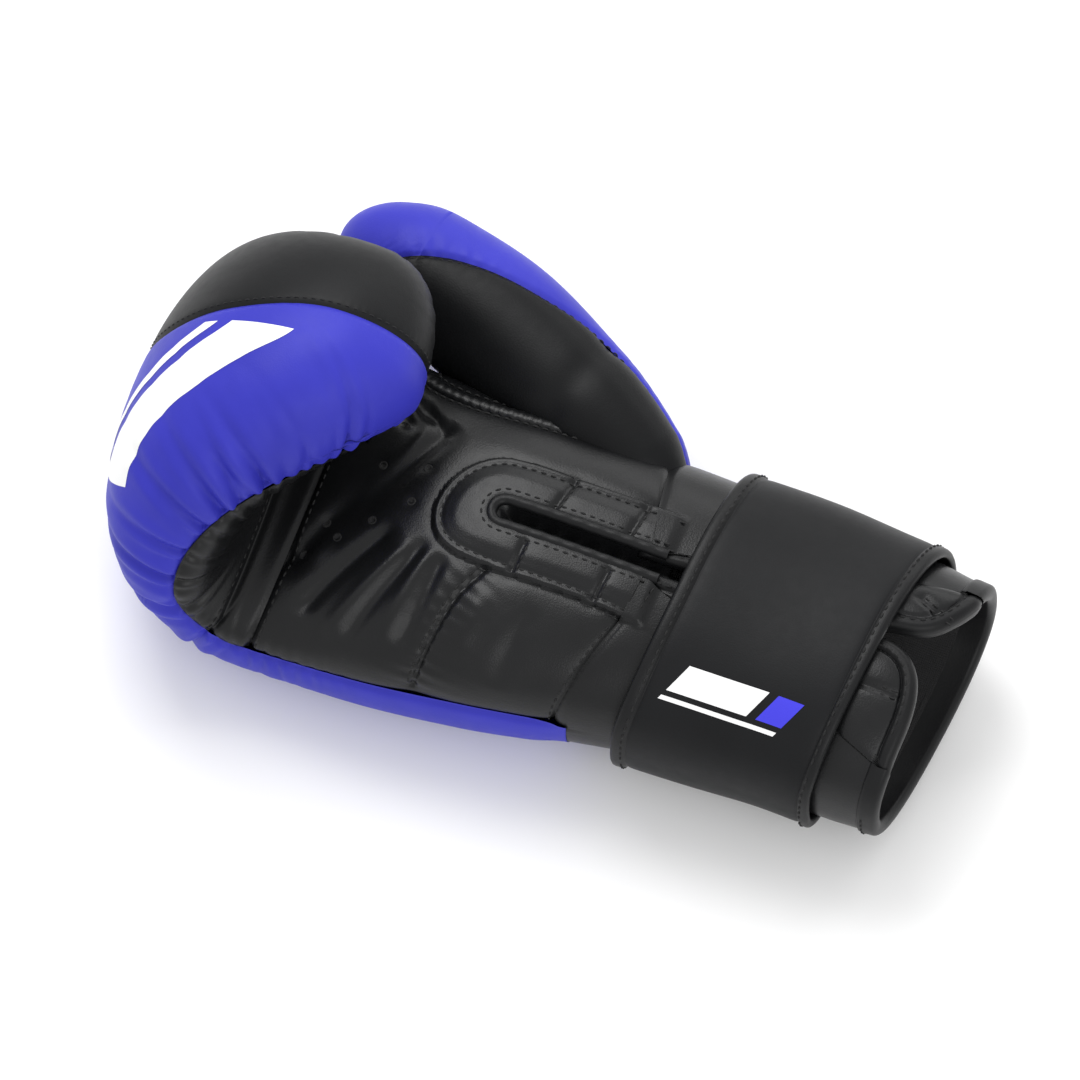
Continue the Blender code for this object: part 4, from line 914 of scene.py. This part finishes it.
def in_mitt(p):
    """Below nought inside the mitt's straight part, in section."""
    l = np.clip(CUFF_X - p[..., 0], 0, 230)
    a, y0 = curve_through(LB_T, HALF_W, l), curve_through(LB_T, MID_Y, l)
    b, z0 = curve_through(LB_T, PALM_H, l), curve_through(LB_T, MID_Z, l)
    bb = np.where(p[..., 2] > z0, b, curve_through(LB_T, BACK_H, l))
    return (np.abs(p[..., 1] - y0) / a) ** N_SECTION + (np.abs(p[..., 2] - z0) / bb) ** N_SECTION - 1


v_rows = np.concatenate([np.arange(0.02, THUMB_CAP, 0.0075), THUMB_CAP + (1 - THUMB_CAP) * np.sin(np.linspace(0, math.pi / 2, 30)) * 0.9999])


def thumb_line(t):
    v = v_rows[v_rows < 0.932]
    p = thumb(v, t(v))
    s = np.concatenate([[0], np.cumsum(np.linalg.norm(np.diff(p, axis=0), axis=1))])
    return p, s


T_LINES = [thumb_line(t) for t in (seam_a, seam_b)]
T_PLEATS = [[(s_, RNG.uniform(0.35, 0.9), RNG.uniform(0.9, 1.5), RNG.uniform(5, 9), RNG.uniform(-0.2, 0.2))
             for s_ in np.arange(6.0, ln[1][-1] - 2.0, 5.2) + RNG.uniform(-1.2, 1.2, len(np.arange(6.0, ln[1][-1] - 2.0, 5.2)))] for ln in T_LINES]


def thumb_height(p, blue):
    h = np.full(p.shape[:-1], 0.35)
    for (line, s), table in zip(T_LINES, T_PLEATS):
        d, at = nearest(p, line, s, 20)
        tip = smooth((at - s[-1] * 0.62) / (s[-1] * 0.25))
        h += -1.15 * np.exp(-d / 4.0) - 0.75 * g(d, 1.2)
        h += pleats(d, at, table) * (0.25 + 0.9 * tip) * (1.0 if blue else 0.45)
    return h


def thumb_piece(name, mat, blue):
    vr = v_rows if blue else v_rows[v_rows < 0.9315]
    u_ = np.linspace(0, 1, 150 if blue else 112)
    lo, hi = (seam_b(vr) - 360.0, seam_a(vr)) if blue else (seam_a(vr), seam_b(vr))
    v = np.repeat(vr[:, None], len(u_), 1)
    tt = lo[:, None] + (hi - lo)[:, None] * u_[None, :]
    p, n0 = thumb(v, tt), thumb_normal(v, tt)
    h = thumb_height(p, blue)
    if not blue:  # the soft fold across the inside of the thumb
        h = h - 1.0 * g(p[..., 0] + 8 - 0.35 * (p[..., 1] - 60), 6.0)
    q = p + n0 * h[..., None]
    f = facing(q, grid_faces(*v.shape), n0)
    n = grid_normals(q, f)
    c = q.reshape(-1, 3)[f].mean(1)
    f = f[in_mitt(c) > -0.13]
    return make(name, to_frame(q.reshape(-1, 3)), f, mat, n)


def with_thumb(o, slot, *nodes, pad=None):
    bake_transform(o)
    if nodes:
        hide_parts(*nodes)
    return o


with_thumb(thumb_piece("thumb_outer_skin", BLUE, True), "blue_leather", "thumb_outer_shell", "thumb_foam", "thumb_lining", pad=0.9)
# the thumb's inner panel takes the darker copy of the black leather, whose darker colour is painted shade
with_thumb(thumb_piece("thumb_inner_skin", DULL_SHADED_BLACK, False), "black_leather", "thumb_inner_panel", pad=0.85)
rows_t = []
for o_ in (2.6,):
    _v = v_rows[v_rows < 0.90]
    p, n0 = thumb(_v, seam_a(_v) + o_), thumb_normal(_v, seam_a(_v) + o_)
    keep = in_mitt(p) > 0.02
    q = p + n0 * thumb_height(p, False)[:, None]
    rows_t.append((q[keep], n0[keep]))
with_thumb(stitches("thumb_stitches", rows_t, THREAD, 3.4, 2.2, 0.32), "black_leather")

# ---------------------------------------------------------------- cuff: outer panel, rolled binding at its end, lining all the way in
th_c = np.linspace(0, 360, 340, endpoint=False)
y_c = mitt(np.full_like(th_c, 120.0), th_c)[:, 1]
lb_top = np.full_like(th_c, 122.4)
palm_side = (th_c > THUMB_SEAM) & (th_c < PINKY_SEAM)
lb_top[palm_side] = np.interp(th_c[palm_side], th_p, start) + 0.4
w = np.linspace(0, 1, 110)
lb = 4.6 + (lb_top - 4.6)[None, :] * w[:, None]
th = np.repeat(th_c[None, :], len(w), 0)
faces = grid_faces(*lb.shape, closed=True)
p = mitt(lb, th)
faces, edge = trim(p, faces, OPEN_LINE)
_, snap = edge_distance(OPEN_LINE, p.reshape(-1, 3)[edge, 0], p.reshape(-1, 3)[edge, 1])
l2, t2 = plan(snap[:, 0], snap[:, 1])
lbf, thf = lb.reshape(-1).copy(), th.reshape(-1).copy()
lbf[edge], thf[edge] = l2, t2
p, n0 = mitt(lbf, thf), mitt_normal(lbf, thf)
q = p + n0 * cuff_height(p)[:, None]
faces = facing(q, faces, n0)
ride(make("cuff_panel_skin", to_frame(q), faces, BLACK, grid_normals(q, faces)), "hand", "black_leather", "cuff_panel", "cuff_foam", pad=0.6)

# end binding: from the outside, over the end, to the lining
WALL_IN = 5.4   # the lining falls away from the foam at the end, so the end is thin
a = np.linspace(0, math.pi, 22)
prof_l = np.concatenate([[6.4, 5.9, 5.4, 4.2, 2.6, 1.0], 0.2 - 2.4 * np.sin(a), [1.0, 3.0, 6.0, 10.0]])
prof_d = np.concatenate([[0.2, -0.2, -0.75, -1.0, -1.0, -0.95], -0.9 + (WALL_IN + 0.9) * (1 - np.cos(a)) / 2, [WALL_IN, WALL_IN + 0.1, WALL_IN + 0.4, WALL_IN + 1.2]])
L, T = np.meshgrid(prof_l, th_c, indexing="ij")
D = np.repeat(prof_d[:, None], len(th_c), 1)
base = mitt(np.maximum(L, 0.0), T)
nn = mitt_normal(np.maximum(L, 1.0), T)
q = base - nn * D[..., None] + np.stack([np.where(L < 0, -L, 0), L * 0, L * 0], -1)
fac = grid_faces(*L.shape, closed=True)
fac = facing(q[:6], grid_faces(6, len(th_c), closed=True), nn[:6]) if False else fac
qc = q.reshape(-1, 3)[fac].mean(1)
drop = inside(OPEN_LINE, qc[:, 0], qc[:, 1]) & (qc[:, 2] > 40)
fn = np.cross(q.reshape(-1, 3)[fac[:, 2]] - q.reshape(-1, 3)[fac[:, 0]], q.reshape(-1, 3)[fac[:, 3]] - q.reshape(-1, 3)[fac[:, 1]])
first = fac[:, 0] < 3 * len(th_c)
if np.sum(fn[first] * nn.reshape(-1, 3)[fac[first, 0]]) < 0:
    fac = fac[:, ::-1]
nrm = grid_normals(q, fac)
ride(make("cuff_binding_roll", to_frame(q.reshape(-1, 3)), fac[~drop], PIPING, nrm), "hand", "binding_tape", "cuff_binding")

# lining: a fabric sleeve from the cuff to the finger tips
lr = np.concatenate([np.linspace(8.0, 40.0, 24), np.linspace(43.0, 290.0, 90), 290 + 54 * np.sin(np.linspace(0.05, math.pi / 2, 14))])
tl = np.linspace(0, 360, 150, endpoint=False)
L, T = np.meshgrid(lr, tl, indexing="ij")
inner = cavity(L, T, LINING * 0.5)
outer = mitt(np.minimum(L, TIP_LB), T, WALL_IN + 1.1)
k = smooth((L - 8.0) / 36.0)[..., None]
q = outer * (1 - k) + inner * k
cen = q.mean(1, keepdims=True)
wr = 0.5 * np.sin(L / 9.0 + 3 * np.sin(T / 40.0)) * np.sin(T / 17.0) + 0.35 * np.sin(L / 4.3 + T / 11.0)
q = q + normalised(cen - q) * (wr + 0.3)[..., None] * (k * (1 - smooth((L - 270) / 20))[..., None])
fac = grid_faces(*L.shape, closed=True)
fac = facing(q, fac, cen - q)
qc = q.reshape(-1, 3)[fac].mean(1)
drop = inside(OPEN_LINE, qc[:, 0], qc[:, 1]) & (qc[:, 2] > 43)
ride(make("hand_lining_sleeve", to_frame(q.reshape(-1, 3)), fac[~drop], LINER, grid_normals(q, fac)), "hand", "lining_fabric", "hand_lining", "thumb_throat")

# the wall below each fold line, between the outer skin and the lining
for sign, nm in ((1, "thumb"), (-1, "pinky")):
    xs = np.linspace(FLAP_X0 + 6, FLAP_END[sign] - 1, 100)
    ys = np.array([fold_line(sign, 0.2)(x) for x in xs])
    top = mitt(*plan(xs, ys))
    rows_w = [top + np.array([0, 0, -z]) + np.array([0, sign * o, 0]) for z, o in ((0.0, 0.0), (0.7, 0.3), (2.5, 0.4), (8.0, 0.4), (13.0, 1.0))]
    q = np.stack(rows_w, 0)
    f = facing(q, grid_faces(*q.shape[:2]), np.zeros_like(q) + np.array([0, -sign, 0.2]))
    ride(make(f"cuff_fold_wall_{nm}", to_frame(q.reshape(-1, 3)), f, LINER, grid_normals(q, f)), "hand", "lining_fabric")

# ---------------------------------------------------------------- cuff flaps
def palm_z(x, y):
    return mitt(*plan(x, y))[..., 2]


FLAPS = {
    "thumb": dict(sign=1, centre=(126.0, 22.5), thick=7.5,
                  free=[(38.0, 6.3), (70.0, 7.2), (100.0, 8.2), (120.0, 9.6), (131.0, 11.8), (141.0, 13.8), (147.5, 18.2), (152.6, 26.0), (155.6, 33.5), (156.0, 37.8)]),
    "pinky": dict(sign=-1, centre=(122.0, -16.5), thick=7.5,
                  free=[(38.0, 1.6), (70.0, 2.6), (100.0, 4.0), (118.0, 6.4), (130.0, 7.6), (139.0, 5.2), (145.2, -0.6), (148.6, -9.0), (149.8, -20.0), (149.0, -35.3)]),
}
flap_rows = {}
for nm, F in FLAPS.items():
    sign = F["sign"]
    free = resample(rounded(F["free"]), 1.1)
    x_end = free[-1, 0]
    fold = lambda x: fold_line(sign, -0.25)(x)
    back = np.array([(x, fold(x)) for x in np.linspace(x_end, 38.0, 90)])
    free[-1, 1] = fold(x_end)
    line = np.concatenate([free, back[1:]])
    cx, cy = F["centre"]
    rr = np.concatenate([np.linspace(0.0, 0.72, 15), np.linspace(0.74, 1.0, 42)])
    X = cx + rr[:, None] * (line[None, :, 0] - cx)
    Y = cy + rr[:, None] * (line[None, :, 1] - cy)
    e, _ = edge_distance(free, X, Y)
    z = palm_z(X, Y)
    dx = 1.2
    nx = -(palm_z(X + dx, Y) - palm_z(X - dx, Y)) / (2 * dx)
    ny = -(palm_z(X, Y + dx) - palm_z(X, Y - dx)) / (2 * dx)
    nn = normalised(np.stack([nx, ny, np.ones_like(nx)], -1))
    past = smooth((X - 122.0) / 8.0)               # past the strap it stands fuller
    R, B = 3.0, 5.6
    rim = np.sqrt(np.maximum(0, 1 - np.clip(1 - e / R, 0, 1) ** 2))       # rounded free edge
    top = -3.0 + 3.0 * rim + 0.5 * rim
    top += np.where(e < B, 0.35 * past, (1.3 * past + 0.15) * (1 - np.exp(-(e - B) / 5.0)) - 0.1) - 0.75 * g(e - B, 0.65)
    fe, _ = edge_distance(back, X, Y)
    top -= 0.9 * np.exp(-fe / 1.6)
    # double row across, where the foam inside is sewn down
    dbl = (np.array([[137.0, 26.5], [151.0, 21.0]]) if sign > 0 else np.array([[128.0, -12.5], [143.2, -12.5]]))
    dd, _ = edge_distance(dbl, X, Y)
    top -= (0.9 * g(dd, 1.7) + 0.5 * np.exp(-dd / 4.0)) * (e > B)
    low = -3.0 - (F["thick"] - 3.0) * rim - 0.6 * (1 - np.exp(-e / 6.0))
    P = np.stack([X, Y, z], -1)
    up, dn = P + nn * top[..., None], P + nn * low[..., None]
    q = np.concatenate([up, dn[::-1]], 0)
    f = grid_faces(*q.shape[:2], closed=True)
    fn = np.cross(q.reshape(-1, 3)[f[:, 2]] - q.reshape(-1, 3)[f[:, 0]], q.reshape(-1, 3)[f[:, 3]] - q.reshape(-1, 3)[f[:, 1]])
    mid = (f[:, 0] // q.shape[1] > 10) & (f[:, 0] // q.shape[1] < 50)
    if np.sum(fn[mid, 2]) < 0:
        f = f[:, ::-1]
    n = grid_normals(q, f)
    cf = q.reshape(-1, 3)[f].mean(1)
    row = f[:, 0] // q.shape[1]
    ec, _ = edge_distance(free, cf[:, 0], cf[:, 1])
    is_bind = (ec < B) & (row >= 0)
    is_low = row >= len(rr)
    body = "flap_" + nm
    fn_ = f"flap_{nm}"
    ride(make(fn_ + "_face", to_frame(q.reshape(-1, 3)), f[~is_bind & ~is_low], BLACK, n), body, "black_leather", fn_ + "_panel", fn_ + "_foam", pad=0.6)
    ride(make(fn_ + "_bound_edge", to_frame(q.reshape(-1, 3)), f[is_bind], PIPING, n), body, "binding_tape", fn_ + "_binding")
    ride(make(fn_ + "_inside", to_frame(q.reshape(-1, 3)), f[is_low & ~is_bind], LINER, n), body, "lining_fabric", fn_ + "_lining")

    def flap_line(xy, lift):
        zz = palm_z(xy[:, 0], xy[:, 1])
        ax = -(palm_z(xy[:, 0] + dx, xy[:, 1]) - palm_z(xy[:, 0] - dx, xy[:, 1])) / (2 * dx)
        ay = -(palm_z(xy[:, 0], xy[:, 1] + dx) - palm_z(xy[:, 0], xy[:, 1] - dx)) / (2 * dx)
        m = normalised(np.stack([ax, ay, np.ones_like(ax)], -1))
        return np.concatenate([xy, zz[:, None]], 1) + m * lift, m

    t = normalised(np.gradient(free, axis=0))
    inw = np.stack([-t[:, 1], t[:, 0]], -1)
    if np.mean(np.sum(inw * (np.array([[cx, cy]]) - free), 1)) < 0:
        inw = -inw
    rows_s = [flap_line(free[8:-6] + inw[8:-6] * 4.3, 0.85)]
    rows_s += [flap_line(resample(dbl, 1.0) + np.array([0, o]), 0.35) for o in (-1.3, 1.3)]
    ride(stitches(fn_ + "_stitches", rows_s, THREAD), body, "black_leather")

# ---------------------------------------------------------------- strap
def strap_x0(th):
    return 61.0 - 13.5 * (np.clip(np.asarray(th, float), -90, 165) - 20.0) / 180.0


def strap_at(th, off, up):
    lb = CUFF_X - (strap_x0(th) + off)
    n = mitt_normal(np.maximum(lb, 1.0), th)
    return mitt(lb, th, -up), n


W_, E_ = STRAP_W, 5.6
_top = [(0.0, 3.6), (0.25, 4.4), (0.9, 5.05), (1.8, 5.35), (3.0, 5.4), (4.2, 5.3), (5.0, 5.05), (5.45, 4.55), (5.75, 4.35), (6.1, 4.5), (6.8, 4.72), (8.5, 4.85)]
prof_top = _top + [(x, 4.88) for x in np.linspace(10.5, W_ - 10.5, 44)] + [(W_ - a_, b_) for a_, b_ in reversed(_top)]
prof_low = [(W_ - 0.2, 2.7), (W_ - 1.0, 2.1), (W_ - 3.0, 1.9), (W_ - 5.0, 2.0)] + [(x, 2.1) for x in np.linspace(W_ - 7, 7, 16)] + [(5.0, 2.0), (3.0, 1.9), (1.0, 2.1), (0.2, 2.7)]
prof = np.array(prof_top + prof_low)
PIN = {h: [strap_at(np.array([t_]), STRAP_W / 2, 4.8)[0][0] for t_ in ab] for h, ab in ((1, (6.0, 30.0)), (2, (152.0, 170.0)), (3, (203.0, 226.0)))}


SPANS = {
    "anchor_panel": (-62.0, 150.0, ("hand", "strap_panel", 1), ("strap_anchor_face", "strap_anchor_backing", "strap_panel_face", "strap_panel_backing", "strap_panel_binding_fist", "strap_panel_binding_cuff")),
    "side": (150.0, 187.0, ("strap_panel", "strap_side", 2), ("strap_side_face", "strap_side_backing", "strap_side_binding_fist", "strap_side_binding_cuff")),
    "tail": (187.0, 262.0, ("strap_side", "strap_tail", 3), ("strap_tail_face", "strap_tail_binding_fist", "strap_tail_binding_cuff")),
}


def strap_wave(th, off):
    """The strap is pulled round by hand, so it is not quite flat."""
    return (0.55 * np.sin(off / 17.0 + th / 30.0) + 0.4 * np.sin(off / 29.0 - th / 19.0 + 1.0)) * np.sin(np.clip(off / STRAP_W, 0, 1) * math.pi)


def bend(o, a, b, h, slot, *nodes):
    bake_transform(o)
    if nodes:
        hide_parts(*nodes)
    return o


for nm, (t0, t1, (a_, b_, h_), nodes) in SPANS.items():
    t = np.linspace(t0, t1, max(24, int((t1 - t0) * 1.05)))
    O, T = np.meshgrid(prof[:, 0], t, indexing="ij")
    U = np.repeat(prof[:, 1][:, None], len(t), 1)
    if nm == "tail":     # its end is rounded off and closed
        k_ = np.clip((T - (t1 - 7.0)) / 7.0, 0, 1)
        U = 3.4 + (U - 3.4) * np.sqrt(np.maximum(0.02, 1 - k_**2.5))
    if nm == "anchor_panel":
        k_ = np.clip(((t0 + 5.0) - T) / 5.0, 0, 1)
        U = 3.0 + (U - 3.0) * np.sqrt(np.maximum(0.02, 1 - k_**2.5))
    lb = CUFF_X - (strap_x0(T) + O)
    q, n0 = mitt(lb, T, -U), mitt_normal(np.maximum(lb, 1.0), T)
    q = q + n0 * (strap_wave(T, O) * np.where(U > 4, 1.0, 0.5) * smooth((q[..., 2] - 4) / 10))[..., None]
    q[..., 2] = np.maximum(q[..., 2], 0.05)
    i, j = np.meshgrid(np.arange(len(prof)), np.arange(len(t) - 1), indexing="ij")
    i2 = (i + 1) % len(prof)
    nj = len(t)
    f = np.stack([i * nj + j, i * nj + j + 1, i2 * nj + j + 1, i2 * nj + j], -1).reshape(-1, 4)
    flat = q.reshape(-1, 3)
    fn = np.cross(flat[f[:, 2]] - flat[f[:, 0]], flat[f[:, 3]] - flat[f[:, 1]])
    topf = f[:, 0] // nj < len(prof_top) - 1
    if np.sum(fn[topf] * n0.reshape(-1, 3)[f[topf, 0]]) < 0:
        f = f[:, ::-1]
    n = grid_normals(q, f)
    ri = np.array([min(a2) for a2 in (f // nj)])
    ri = (f // nj).min(1)
    wrap = ((f // nj).max(1) - ri) > 1
    edge_w = (prof[ri, 0] < 5.6) | (prof[ri, 0] > W_ - 5.6)
    under = (ri >= len(prof_top)) & ~wrap
    bind = edge_w & ~(under & (prof[ri, 0] > 5.1) & (prof[ri, 0] < W_ - 5.1))
    if nm == "anchor_panel":
        bind = bind & ((flat[f[:, 0]][:, 1] > -1e9))
    caps_mat = PIPING
    bend(make(f"strap_{nm}_outer", to_frame(flat), f[~bind & ~under], STRAP_BLACK, n), a_, b_, h_, "black_leather", *nodes)
    bend(make(f"strap_{nm}_edges", to_frame(flat), f[bind], PIPING, n), a_, b_, h_, "binding_tape")
    bend(make(f"strap_{nm}_under", to_frame(flat), f[under & ~bind], HOOKS if nm == "tail" else WEB, n), a_, b_, h_, "hook_and_loop" if nm == "tail" else "webbing",
         *(["strap_tail_hook_patch"] if nm == "tail" else []))
    rows_s = []
    for off in (4.25, W_ - 4.25):
        tt = np.linspace(max(t0, -50) + 1, t1 - 2, 300)
        lbs = CUFF_X - (strap_x0(tt) + off)
        m = mitt_normal(np.maximum(lbs, 1.0), tt)
        pts = mitt(lbs, tt, -5.32) + m * (strap_wave(tt, np.full_like(tt, off)))[:, None]
        rows_s.append((pts, m))
    bend(stitches(f"strap_{nm}_stitches", rows_s, THREAD, 3.7, 2.5, 0.42), a_, b_, h_, "black_leather")

# loop patch on the cuff, under the tail
O, T = np.meshgrid(np.linspace(6, W_ - 6, 60), np.linspace(196.0, 292.0, 80), indexing="ij")
lb = CUFF_X - (strap_x0(T) + O)
rim = np.minimum(smooth(np.minimum(O - 6, W_ - 6 - O) / 2.0), smooth(np.minimum(T - 196, 292 - T) / 3.0))
q, n0 = mitt(lb, T), mitt_normal(np.maximum(lb, 1), T)
q = q + n0 * (0.15 + 1.2 * rim + 0.1 * RNG.standard_normal(rim.shape) * rim)[..., None]
q[..., 2] = np.maximum(q[..., 2], 0.02)
f = facing(q, grid_faces(*q.shape[:2]), n0)
ride(make("loop_patch_pile", to_frame(q.reshape(-1, 3)), f, PILE, grid_normals(q, f)), "hand", "hook_and_loop", "loop_patch")


# ---------------------------------------------------------------- plain marks
def strap_bar(name, quad, mat, lift=0.12, slot="white_print", *nodes):
    """A printed bar: four corners as (angle, offset across the strap)."""
    c = np.array(quad, float)
    a, b = np.linspace(0, 1, 26), np.linspace(0, 1, 12)
    A, B = np.meshgrid(a, b, indexing="ij")
    k = ((1 - A) * (1 - B))[..., None] * c[0] + (A * (1 - B))[..., None] * c[1] + (A * B)[..., None] * c[2] + ((1 - A) * B)[..., None] * c[3]
    th, off = k[..., 0], k[..., 1]
    lb = CUFF_X - (strap_x0(th) + off)
    n0 = mitt_normal(lb, th)
    q = mitt(lb, th, -(4.88 + lift)) + n0 * strap_wave(th, off)[..., None]
    f = facing(q, grid_faces(*q.shape[:2]), n0)
    o = make(name, to_frame(q.reshape(-1, 3)), f, mat, grid_normals(q, f))
    return ride(o, "strap_panel", slot, *nodes)


strap_bar("strap_bar_wide", [(119.5, 16.8), (119.5, 46.8), (132.5, 42.5), (132.5, 12.5)], PRINT, 0.12, "white_print", "strap_mark")
strap_bar("strap_bar_blue", [(119.5, 50.3), (119.5, 60.0), (132.5, 55.7), (132.5, 46.0)], PRINT_BLUE, 0.12, "blue_leather")
strap_bar("strap_bar_thin", [(135.2, 11.6), (135.2, 54.8), (137.4, 54.1), (137.4, 10.9)], PRINT, 0.12)


def fist_band(name, a0, a1, b0, b1, *nodes):
    """A straight band over the fist, printed on the shell: its two long edges as (station, angle) pairs."""
    s_ = np.linspace(0, 1, 150)
    e0 = np.array(a0)[None] + (np.array(a1) - np.array(a0))[None] * s_[:, None]
    e1 = np.array(b0)[None] + (np.array(b1) - np.array(b0))[None] * s_[:, None]
    r = np.linspace(0, 1, 40)
    k = e0[:, None] * (1 - r)[None, :, None] + e1[:, None] * r[None, :, None]
    q, f, n = skin(name, k[..., 0], k[..., 1], shell_height, PRINT, 0.14)
    return ride(make(name, to_frame(q.reshape(-1, 3)), f, PRINT, n), "hand", "white_print", *nodes)


fist_band("fist_band_wide", (305.0, 279.0), (308.0, 244.0), (314.5, 279.6), (325.5, 231.0), "fist_stripe")
fist_band("fist_band_thin", (300.2, 278.6), (298.0, 250.0), (302.6, 278.8), (302.6, 247.5))

# ---------------------------------------------------------------- stitching of the hand
rows_s = [seam_row(CROWN, shell_height, 2.0, 0.03, 0.97)]
ride(stitches("fist_stitches", rows_s, THREAD, 3.1, 2.1, 0.3), "hand", "black_leather")
rows_s = [seam_row(HEEL, palm_height, o) for o in (-1.9,)]
rows_s += [seam_row(PALM_END, palm_height, o, 0.02, 0.98) for o in (-2.0,)]
rows_s += [seam_row(FINGER_2, finger_height, o, 0.02, 0.9) for o in (2.0,)]
ty = [(transverse_x(v_), v_) for v_ in np.linspace(-55, -21.5, 40)]
tr = plan_seam(ty, curved=False)
rows_s += [seam_row(tr, palm_height, o) for o in (2.0,)]
ux = rounded([(50, 23.0), (31.7, 23.0), (9.1, 23.0), (-8.0, 23.0), (-18.6, 21.8), (-26.8, 16.4), (-31.7, 8.2), (-33.0, -1.2),
              (-30.0, -8.6), (-23.0, -13.2), (-10, -14.8), (1.4, -15), (27.7, -15.2), (46.0, -16.4)])
us = plan_seam(ux, curved=False)
rows_s += [seam_row(us, palm_height)]
pp_ = np.concatenate([[(48.0, SLIT_Y + 8.2)], [(SLIT_X0 + SLIT_HALF + 8.2 * math.cos(a), SLIT_Y + 8.2 * math.sin(a)) for a in np.linspace(math.pi / 2, math.pi * 1.5, 22)], [(48.0, SLIT_Y - 8.2)]])
rows_s += [seam_row(plan_seam(pp_, curved=False), palm_height)]
for sm in LADDER:
    rows_s += [seam_row(sm, palm_height, 1.5)]
rows_s += [seam_row(WELT, palm_height, o) for o in (-4.1, 4.3)]
ride(stitches("palm_stitches", rows_s, THREAD, 3.6, 2.4, 0.4), "hand", "black_leather")
# the cuff's end binding is sewn down
tt = np.concatenate([np.linspace(176, 364, 500)])
pb, nb = mitt(np.full_like(tt, 3.6), tt, -1.0), mitt_normal(np.full_like(tt, 3.6), tt)
ride(stitches("cuff_stitches", [(pb, nb)], THREAD, 3.7, 2.5, 0.4), "hand", "black_leather")

# vent holes punched through the palm
hv, hf = [], []
vp_l, vp_t = plan(np.array([-59.9, -43.9, -44.8, -55.7, -58.9, -65.4, -75.4, -71.9]), np.array([10.4, 13.0, -1.4, -11.6, 28.7, -20.7, -29.0, -15.4]))
vp, vn = mitt(vp_l, vp_t), mitt_normal(vp_l, vp_t)
vp = vp + vn * palm_height(vp)[:, None]
for c_, m_ in zip(vp, vn):
    e1 = normalised(np.cross(m_, [0, 1.0, 0]))
    e2 = np.cross(m_, e1)
    base_i = len(hv)
    for rad, up_ in ((1.95, -0.15), (1.6, 0.3), (1.2, 0.34), (0.95, 0.08), (0.1, 0.06)):
        for k_ in range(14):
            a_ = 2 * math.pi * k_ / 14
            hv.append(c_ + (e1 * math.cos(a_) + e2 * math.sin(a_)) * rad + m_ * up_)
    hf += [(base_i + r_ * 14 + k_, base_i + r_ * 14 + (k_ + 1) % 14, base_i + (r_ + 1) * 14 + (k_ + 1) % 14, base_i + (r_ + 1) * 14 + k_) for r_ in range(4) for k_ in range(14)]
    hf.append(tuple(base_i + 56 + k_ for k_ in range(14)))
ride(make("palm_vents", to_frame(np.array(hv)), hf, THREAD), "hand", "black_leather")

# grip bar: foam, inside the hand
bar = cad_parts["grip_bar"]
bar.data.materials.clear()
bar.data.materials.append(FOAM)

# ---------------------------------------------------------------- floor, light and camera
me = bpy.data.meshes.new("floor")
n_ = 40
xs = np.linspace(-3.0, 3.0, n_)
me.from_pydata([(x, y, 0.0) for x in xs for y in xs], [], [(i * n_ + j, (i + 1) * n_ + j, (i + 1) * n_ + j + 1, i * n_ + j + 1) for i in range(n_ - 1) for j in range(n_ - 1)])
floor = bpy.data.objects.new("floor", me)
bpy.context.scene.collection.objects.link(floor)
fm, _, fb = principled("floor_pale", (0.93, 0.93, 0.93), 0.9)
fb.inputs["Specular IOR Level"].default_value = 0.1
me.materials.append(fm)

bpy.context.scene.view_settings.view_transform = "Standard"
world = bpy.data.worlds.new("studio")
bpy.context.scene.world = world
world.use_nodes = True
world.node_tree.nodes["Background"].inputs["Color"].default_value = (1, 1, 1, 1)
world.node_tree.nodes["Background"].inputs["Strength"].default_value = 0.85


def area(name, place, target, size, power):
    l = bpy.data.lights.new(name, "AREA")
    l.shape = "RECTANGLE"
    l.size, l.size_y = size
    l.energy = power
    o = bpy.data.objects.new(name, l)
    bpy.context.scene.collection.objects.link(o)
    o.location = place
    o.rotation_mode = "QUATERNION"
    o.rotation_quaternion = (Vector(target) - Vector(place)).to_track_quat("-Z", "Y")
    return o


area("key", (-0.45, 0.55, 1.15), (0, -0.02, 0.04), (0.8, 0.8), 11.0)
area("fill", (0.75, -0.75, 0.9), (0, 0, 0.04), (0.9, 0.7), 4.0)
area("rim", (0.15, 0.95, 0.5), (0, 0, 0.06), (1.0, 0.35), 2.2)

cam = bpy.data.cameras.new("camera")
camera = bpy.data.objects.new("camera", cam)
bpy.context.scene.collection.objects.link(camera)
az, el = math.radians(20.8), math.radians(65)
back = Vector((math.sin(az) * math.cos(el), -math.cos(az) * math.cos(el), math.sin(el)))
right = Vector((math.cos(az), math.sin(az), 0))
up = back.cross(right)
cam.type = "ORTHO"
cam.ortho_scale = 0.38016
cam.clip_end = 10.0
camera.rotation_mode = "QUATERNION"
camera.location = back * 1.5 + right * 0.003 + up * 0.028 + Vector((SHIFT[0] / 1000, SHIFT[1] / 1000, 0))
camera.rotation_quaternion = back.to_track_quat("Z", "Y")
bpy.context.scene.camera = camera
